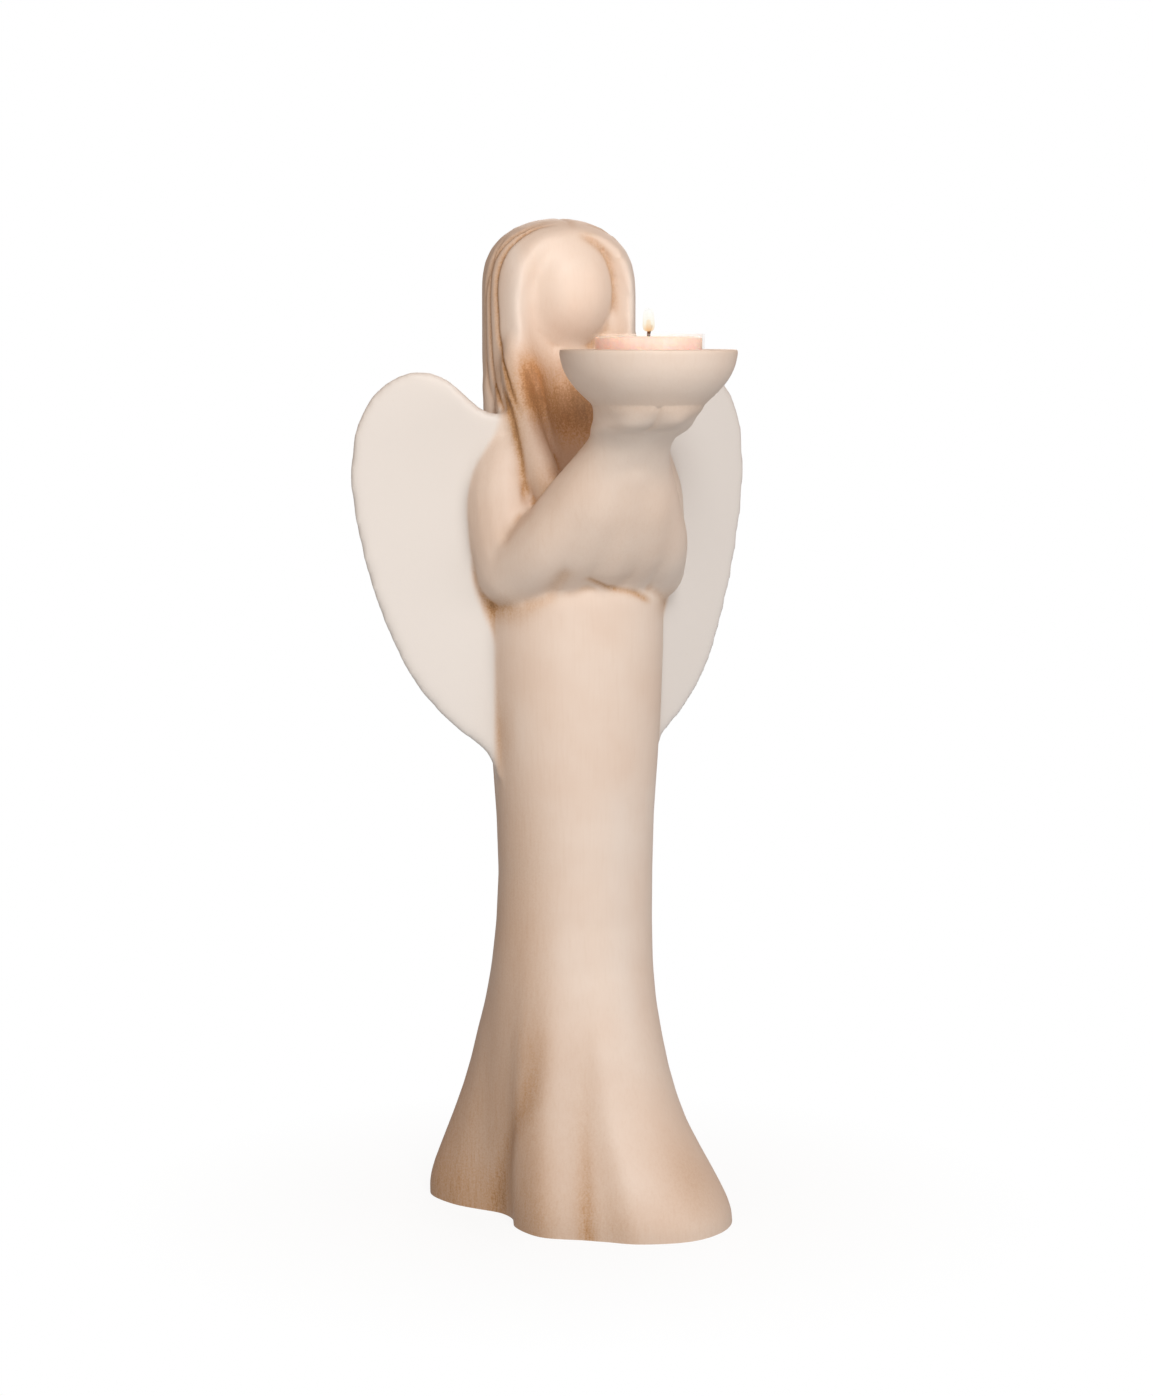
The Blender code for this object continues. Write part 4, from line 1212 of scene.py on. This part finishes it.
def brushed_cream_glaze():
    """Cream glaze, wiped with a tan wash: the wash stays in the hollows and in the fine
    upright brush marks, and the wings are left paler and plain. The same tan and umber also paint shade,
    and the pale colour also paints highlights."""
    mat, tree, shader = new_material("brushed_cream_glaze")
    strokes = grain(tree, 0.8696, 4.0, (1.0, 1.0, 0.075))
    mottle = grain(tree, 33.333, 4.0)
    speck = grain(tree, 0.66667, 2.0)
    wash_and_shade = attribute(tree, "wash_and_shade")
    pale_and_highlight = attribute(tree, "pale_and_highlight")
    body = mix(tree, span(tree, mottle, 0.32, 0.68), srgb("E1D3C7"), srgb("DBC8B9"))
    brushed = span(tree, strokes, 0.30, 0.72, -0.08, 0.10)
    marks = maths(tree, "ADD", brushed, span(tree, speck, 0.35, 0.70, -0.14, 0.20))
    amount = maths(tree, "MULTIPLY", wash_and_shade, maths(tree, "ADD", marks, 0.95))
    veil = maths(tree, "MULTIPLY", span(tree, strokes, 0.50, 0.80), 0.045)
    amount = maths(tree, "ADD", amount, veil, clamp=True)
    keep = maths(tree, "SUBTRACT", 1.0, maths(tree, "MULTIPLY", pale_and_highlight, 0.93))
    amount = maths(tree, "MULTIPLY", amount, keep)
    # pale clay on the wings, and painted highlight on the skirt's stripe and the hair's front band
    ground = mix(tree, pale_and_highlight, body, srgb("E0DCD8"))
    # tan and umber: the wash, and also painted shade on the shaded side, low on the skirt, at the neck and
    # under the bowl
    tan = mix(tree, span(tree, amount, 0.0, 0.72), ground, srgb("B98E62"))
    deep = mix(tree, span(tree, amount, 0.62, 1.25), tan, srgb("7C5737"))
    flecked = mix(tree, span(tree, speck, 0.70, 0.80, 0.0, 0.18), deep, srgb("C9AE92"))
    height = maths(tree, "ADD", maths(tree, "MULTIPLY", strokes, keep), maths(tree, "MULTIPLY", speck, 0.5))
    bump = node(tree, "ShaderNodeBump", (("Height", height),), Strength=0.22, Distance=0.00010)
    rough = span(tree, mottle, 0.3, 0.7, 0.44, 0.56)
    dress(tree, shader, Base_Color=flecked, Roughness=rough, Normal=bump.outputs[0])
    return mat


def height_share(tree, low, high):
    """0 at the lower height and 1 at the upper one, in mm."""
    coords = node(tree, "ShaderNodeTexCoord")
    place = node(tree, "ShaderNodeSeparateXYZ", ((0, coords.outputs["Object"]),))
    return span(tree, place.outputs[2], low * MM, high * MM)


def poured_wax():
    """Peach wax, poured and set: light sinks in, and a painted glow, lighter towards the top, stands in for
    the flame's light in the wax.
    """
    mat, tree, shader = new_material("poured_peach_wax")
    cloud = grain(tree, 6.25, 3.0)
    peach = mix(tree, span(tree, cloud, 0.35, 0.65), srgb("F8E0D8"), srgb("F4D3C6"))
    # painted glow: faint emission, lighter towards the top
    rise = height_share(tree, TOP_OF_WAX - 6.0, TOP_OF_WAX)
    glow = mix(tree, rise, srgb("FFBFA2"), srgb("FFE4D8"))
    bump = node(tree, "ShaderNodeBump", (("Height", cloud),), Strength=0.2, Distance=0.0003)
    dress(
        tree, shader, Base_Color=peach, Roughness=0.38, Normal=bump.outputs[0],
        Emission_Color=glow, Emission_Strength=0.14,
        Subsurface_Weight=0.75, Subsurface_Radius=(1.0, 0.45, 0.25), Subsurface_Scale=0.006,
    )
    return mat


def moulded_clear_plastic():
    """Thin clear moulded cup: no more than a faint shine on the wax."""
    mat, tree, shader = new_material("moulded_clear_plastic")
    haze = grain(tree, 2.5, 2.0)
    rough = span(tree, haze, 0.3, 0.7, 0.06, 0.14)
    veil = span(tree, haze, 0.3, 0.7, 0.07, 0.13)
    dress(tree, shader, Base_Color=srgb("FFF6EE"), Roughness=rough, Alpha=veil)
    return mat


def burnt_cotton():
    """Braided cotton wick: brown where it burns, black with soot at the wax."""
    mat, tree, shader = new_material("burnt_cotton_braid")
    braid = grain(tree, 0.3846, 2.0, (1.0, 1.0, 0.6))
    rise = height_share(tree, TOP_OF_WAX - 1.0, TOP_OF_WAX + 4.0)
    soot = mix(tree, rise, srgb("120C08"), srgb("6B4426"))
    charred = mix(tree, span(tree, braid, 0.35, 0.65), soot, srgb("2A1A0F"))
    dress(tree, shader, Base_Color=charred, Roughness=0.95)
    return mat


def pressed_tin():
    """Pressed tinned steel foot of the wick, rubbed a little dull."""
    mat, tree, shader = new_material("pressed_tinned_steel")
    rub = grain(tree, 1.4286, 3.0)
    rough = span(tree, rub, 0.3, 0.7, 0.25, 0.42)
    dress(tree, shader, Base_Color=srgb("C9C7C2"), Metallic=1.0, Roughness=rough)
    return mat


def flame_glow(name, foot, heart, tip, strength, clear):
    """Burning gas: the foot's colour runs into the heart's and then the tip's, and it thins upwards."""
    mat = bpy.data.materials.new(name)
    mat.use_nodes = True
    tree = mat.node_tree
    tree.nodes.remove(tree.nodes["Principled BSDF"])
    out = tree.nodes["Material Output"]
    rise = height_share(tree, FLAME_FOOT_Z, FLAME_FOOT_Z + FLAME_HEIGHT)
    lower = mix(tree, span(tree, rise, 0.0, 0.35), srgb(foot), srgb(heart))
    colour = mix(tree, span(tree, rise, 0.35, 0.9), lower, srgb(tip))
    flicker = grain(tree, 2.0, 2.0, (1.0, 1.0, 0.3))
    glow = node(tree, "ShaderNodeEmission", (("Color", colour),))
    tree.links.new(span(tree, flicker, 0.2, 0.8, strength * 0.94, strength * 1.06), glow.inputs["Strength"])
    through = node(tree, "ShaderNodeBsdfTransparent")
    blend = node(tree, "ShaderNodeMixShader", ((1, glow.outputs[0]), (2, through.outputs[0])))
    tree.links.new(span(tree, rise, 0.0, 1.0, clear, min(1.0, clear + 0.25)), blend.inputs[0])
    tree.links.new(blend.outputs[0], out.inputs["Surface"])
    return mat


def build_figure():
    """The whole casting: forms, skin, drawn lines, bowl, and the hollow inside."""
    obj = add_object("angel_figure", casting_forms())
    skin(obj)
    points, wash_and_shade, pale_and_highlight = draw_wash_and_shade(obj.data)
    boolean(obj, add_object("bowl", bowl_mesh()), "UNION")
    for cutter in cavity_forms():
        boolean(obj, cutter, "DIFFERENCE")
    carry_over(obj.data, points, {"wash_and_shade": wash_and_shade, "pale_and_highlight": pale_and_highlight})
    finish_bowl_wash_and_shade(obj.data)
    obj.data.polygons.foreach_set("use_smooth", [True] * len(obj.data.polygons))
    obj.data.set_sharp_from_angle(angle=math.radians(50.0))
    obj.data.materials.clear()
    obj.data.materials.append(brushed_cream_glaze())
    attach(obj, "root")
    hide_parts("figure")
    return obj


def keep_node(name, material):
    """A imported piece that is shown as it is, with its own finish."""
    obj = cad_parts[name]
    obj.data.materials.clear()
    obj.data.materials.append(material)
    return obj


def flame_body(name, scale, foot, height, material):
    """One layer of the flame, a drop with a blunt foot and tip."""
    profile = []
    for i in range(FLAME_STEPS + 1):
        t = i / FLAME_STEPS
        wide = max(0.0, 1.0 - abs(2.0 * t - 1.0) ** FLAME_ROUNDNESS) ** 0.5 * (1.0 - FLAME_TAPER * t)
        profile.append((wide * FLAME_HALF_WIDTH * scale, foot + t * height))
    mesh = turned(profile[::-1], name, BOWL_Y, 32)
    obj = add_object(name, mesh)
    mesh.polygons.foreach_set("use_smooth", [True] * len(mesh.polygons))
    mesh.materials.append(material)
    obj.visible_shadow = False
    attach(obj, "root")
    return obj


def build_flame():
    """Three layers of burning gas, each inside the last."""
    outer = flame_glow("candle_flame_edge", "F2BE7C", "F3DC98", "FFF6D8", 0.98, 0.72)
    inner = flame_glow("candle_flame_body", "FFC98A", "FFFEF6", "FFFFFC", 1.0, 0.25)
    core = flame_glow("candle_flame_core", "D8641E", "FFC070", "FFF3D2", 1.0, 0.0)
    flame_body("flame", 1.0, FLAME_FOOT_Z, FLAME_HEIGHT, outer)
    flame_body("flame_body", 0.80, FLAME_FOOT_Z + 0.2, FLAME_HEIGHT - 0.6, inner)
    flame_body("flame_core", 0.42, FLAME_FOOT_Z + 0.3, FLAME_HEIGHT * 0.48, core)


def area_light(name, azimuth, distance, height, size, power, colour, aim):
    data = bpy.data.lights.new(name, "AREA")
    data.energy = power
    data.shape = "SQUARE"
    data.size = size
    data.color = colour
    obj = add_object(name, data)
    turn = math.radians(azimuth)
    obj.location = (distance * math.sin(turn), -distance * math.cos(turn), height)
    obj.rotation_euler = (Vector((0.0, 0.0, aim)) - obj.location).to_track_quat("-Z", "Y").to_euler()


def point_light(name, place, power, radius, colour):
    data = bpy.data.lights.new(name, "POINT")
    data.energy = power
    data.shadow_soft_size = radius
    data.color = colour
    obj = add_object(name, data)
    obj.location = Vector(place) * MM


def lights():
    """Soft studio light, the candle's own light and its glow."""
    for row in AREA_LIGHTS:
        area_light(*row)
    for row in POINT_LIGHTS:
        point_light(*row)


def white_world():
    """Plain white to the camera, and a dim warm light to everything else."""
    world = bpy.data.worlds.new("white_studio")
    bpy.context.scene.world = world
    world.use_nodes = True
    tree = world.node_tree
    back = tree.nodes["Background"]
    seen = node(tree, "ShaderNodeLightPath")
    bounce = mix(tree, seen.outputs["Is Camera Ray"], srgb("FFD2B0"), (1.0, 1.0, 1.0, 1.0))
    tree.links.new(bounce, back.inputs["Color"])
    strength = span(tree, seen.outputs["Is Camera Ray"], 0.0, 1.0, WORLD_STRENGTH, 1.0)
    tree.links.new(strength, back.inputs["Strength"])


def pale_floor():
    """A white sweep: near the figure it takes its shadow, further out it is plain white."""
    bm = bmesh.new()
    bmesh.ops.create_circle(bm, cap_ends=True, segments=96, radius=FLOOR_RADIUS)
    mesh = mesh_from(bm, "floor")
    floor = add_object("floor", mesh)
    mat, tree, shader = new_material("matt_white_sweep")
    dress(tree, shader, Base_Color=srgb("F8F8F8"), Roughness=0.9, Specular_IOR_Level=0.1)
    coords = node(tree, "ShaderNodeTexCoord")
    away = node(tree, "ShaderNodeVectorMath", ((0, coords.outputs["Object"]),), operation="LENGTH")
    seen = node(tree, "ShaderNodeLightPath")
    glow = span(tree, seen.outputs["Is Camera Ray"], 0.0, 1.0, FLOOR_STRENGTH, 1.0)
    white = node(tree, "ShaderNodeEmission", (("Strength", glow),))
    blend = node(tree, "ShaderNodeMixShader", ((1, shader.outputs[0]), (2, white.outputs[0])))
    share = span(tree, away.outputs["Value"], FLOOR_WHITE_FROM, FLOOR_WHITE_TO, FLOOR_WHITE_SHARE, 1.0)
    tree.links.new(share, blend.inputs[0])
    tree.links.new(blend.outputs[0], tree.nodes["Material Output"].inputs["Surface"])
    mesh.materials.append(mat)


def photo_camera():
    """The camera at the photograph's angle."""
    data = bpy.data.cameras.new("camera")
    data.sensor_width = 36.0
    data.lens = CAMERA_LENS
    data.clip_start = 0.05
    data.clip_end = 50.0
    camera = add_object("camera", data)
    turn = math.radians(CAMERA_TURN_DEG)
    x = CAMERA_DISTANCE * math.sin(turn) + CAMERA_SHIFT
    camera.location = (x, -CAMERA_DISTANCE * math.cos(turn), CAMERA_HEIGHT)
    camera.rotation_euler = (math.radians(90.0 - CAMERA_TILT_DEG), 0.0, turn)
    bpy.context.scene.camera = camera


def main():
    bpy.context.scene.view_settings.view_transform = "Standard"
    build_figure()
    keep_node("tealight_wax", poured_wax())
    keep_node("tealight_cup", moulded_clear_plastic())
    keep_node("wick", burnt_cotton())
    keep_node("wick_tab", pressed_tin())
    build_flame()
    pale_floor()
    white_world()
    lights()
    photo_camera()


main()
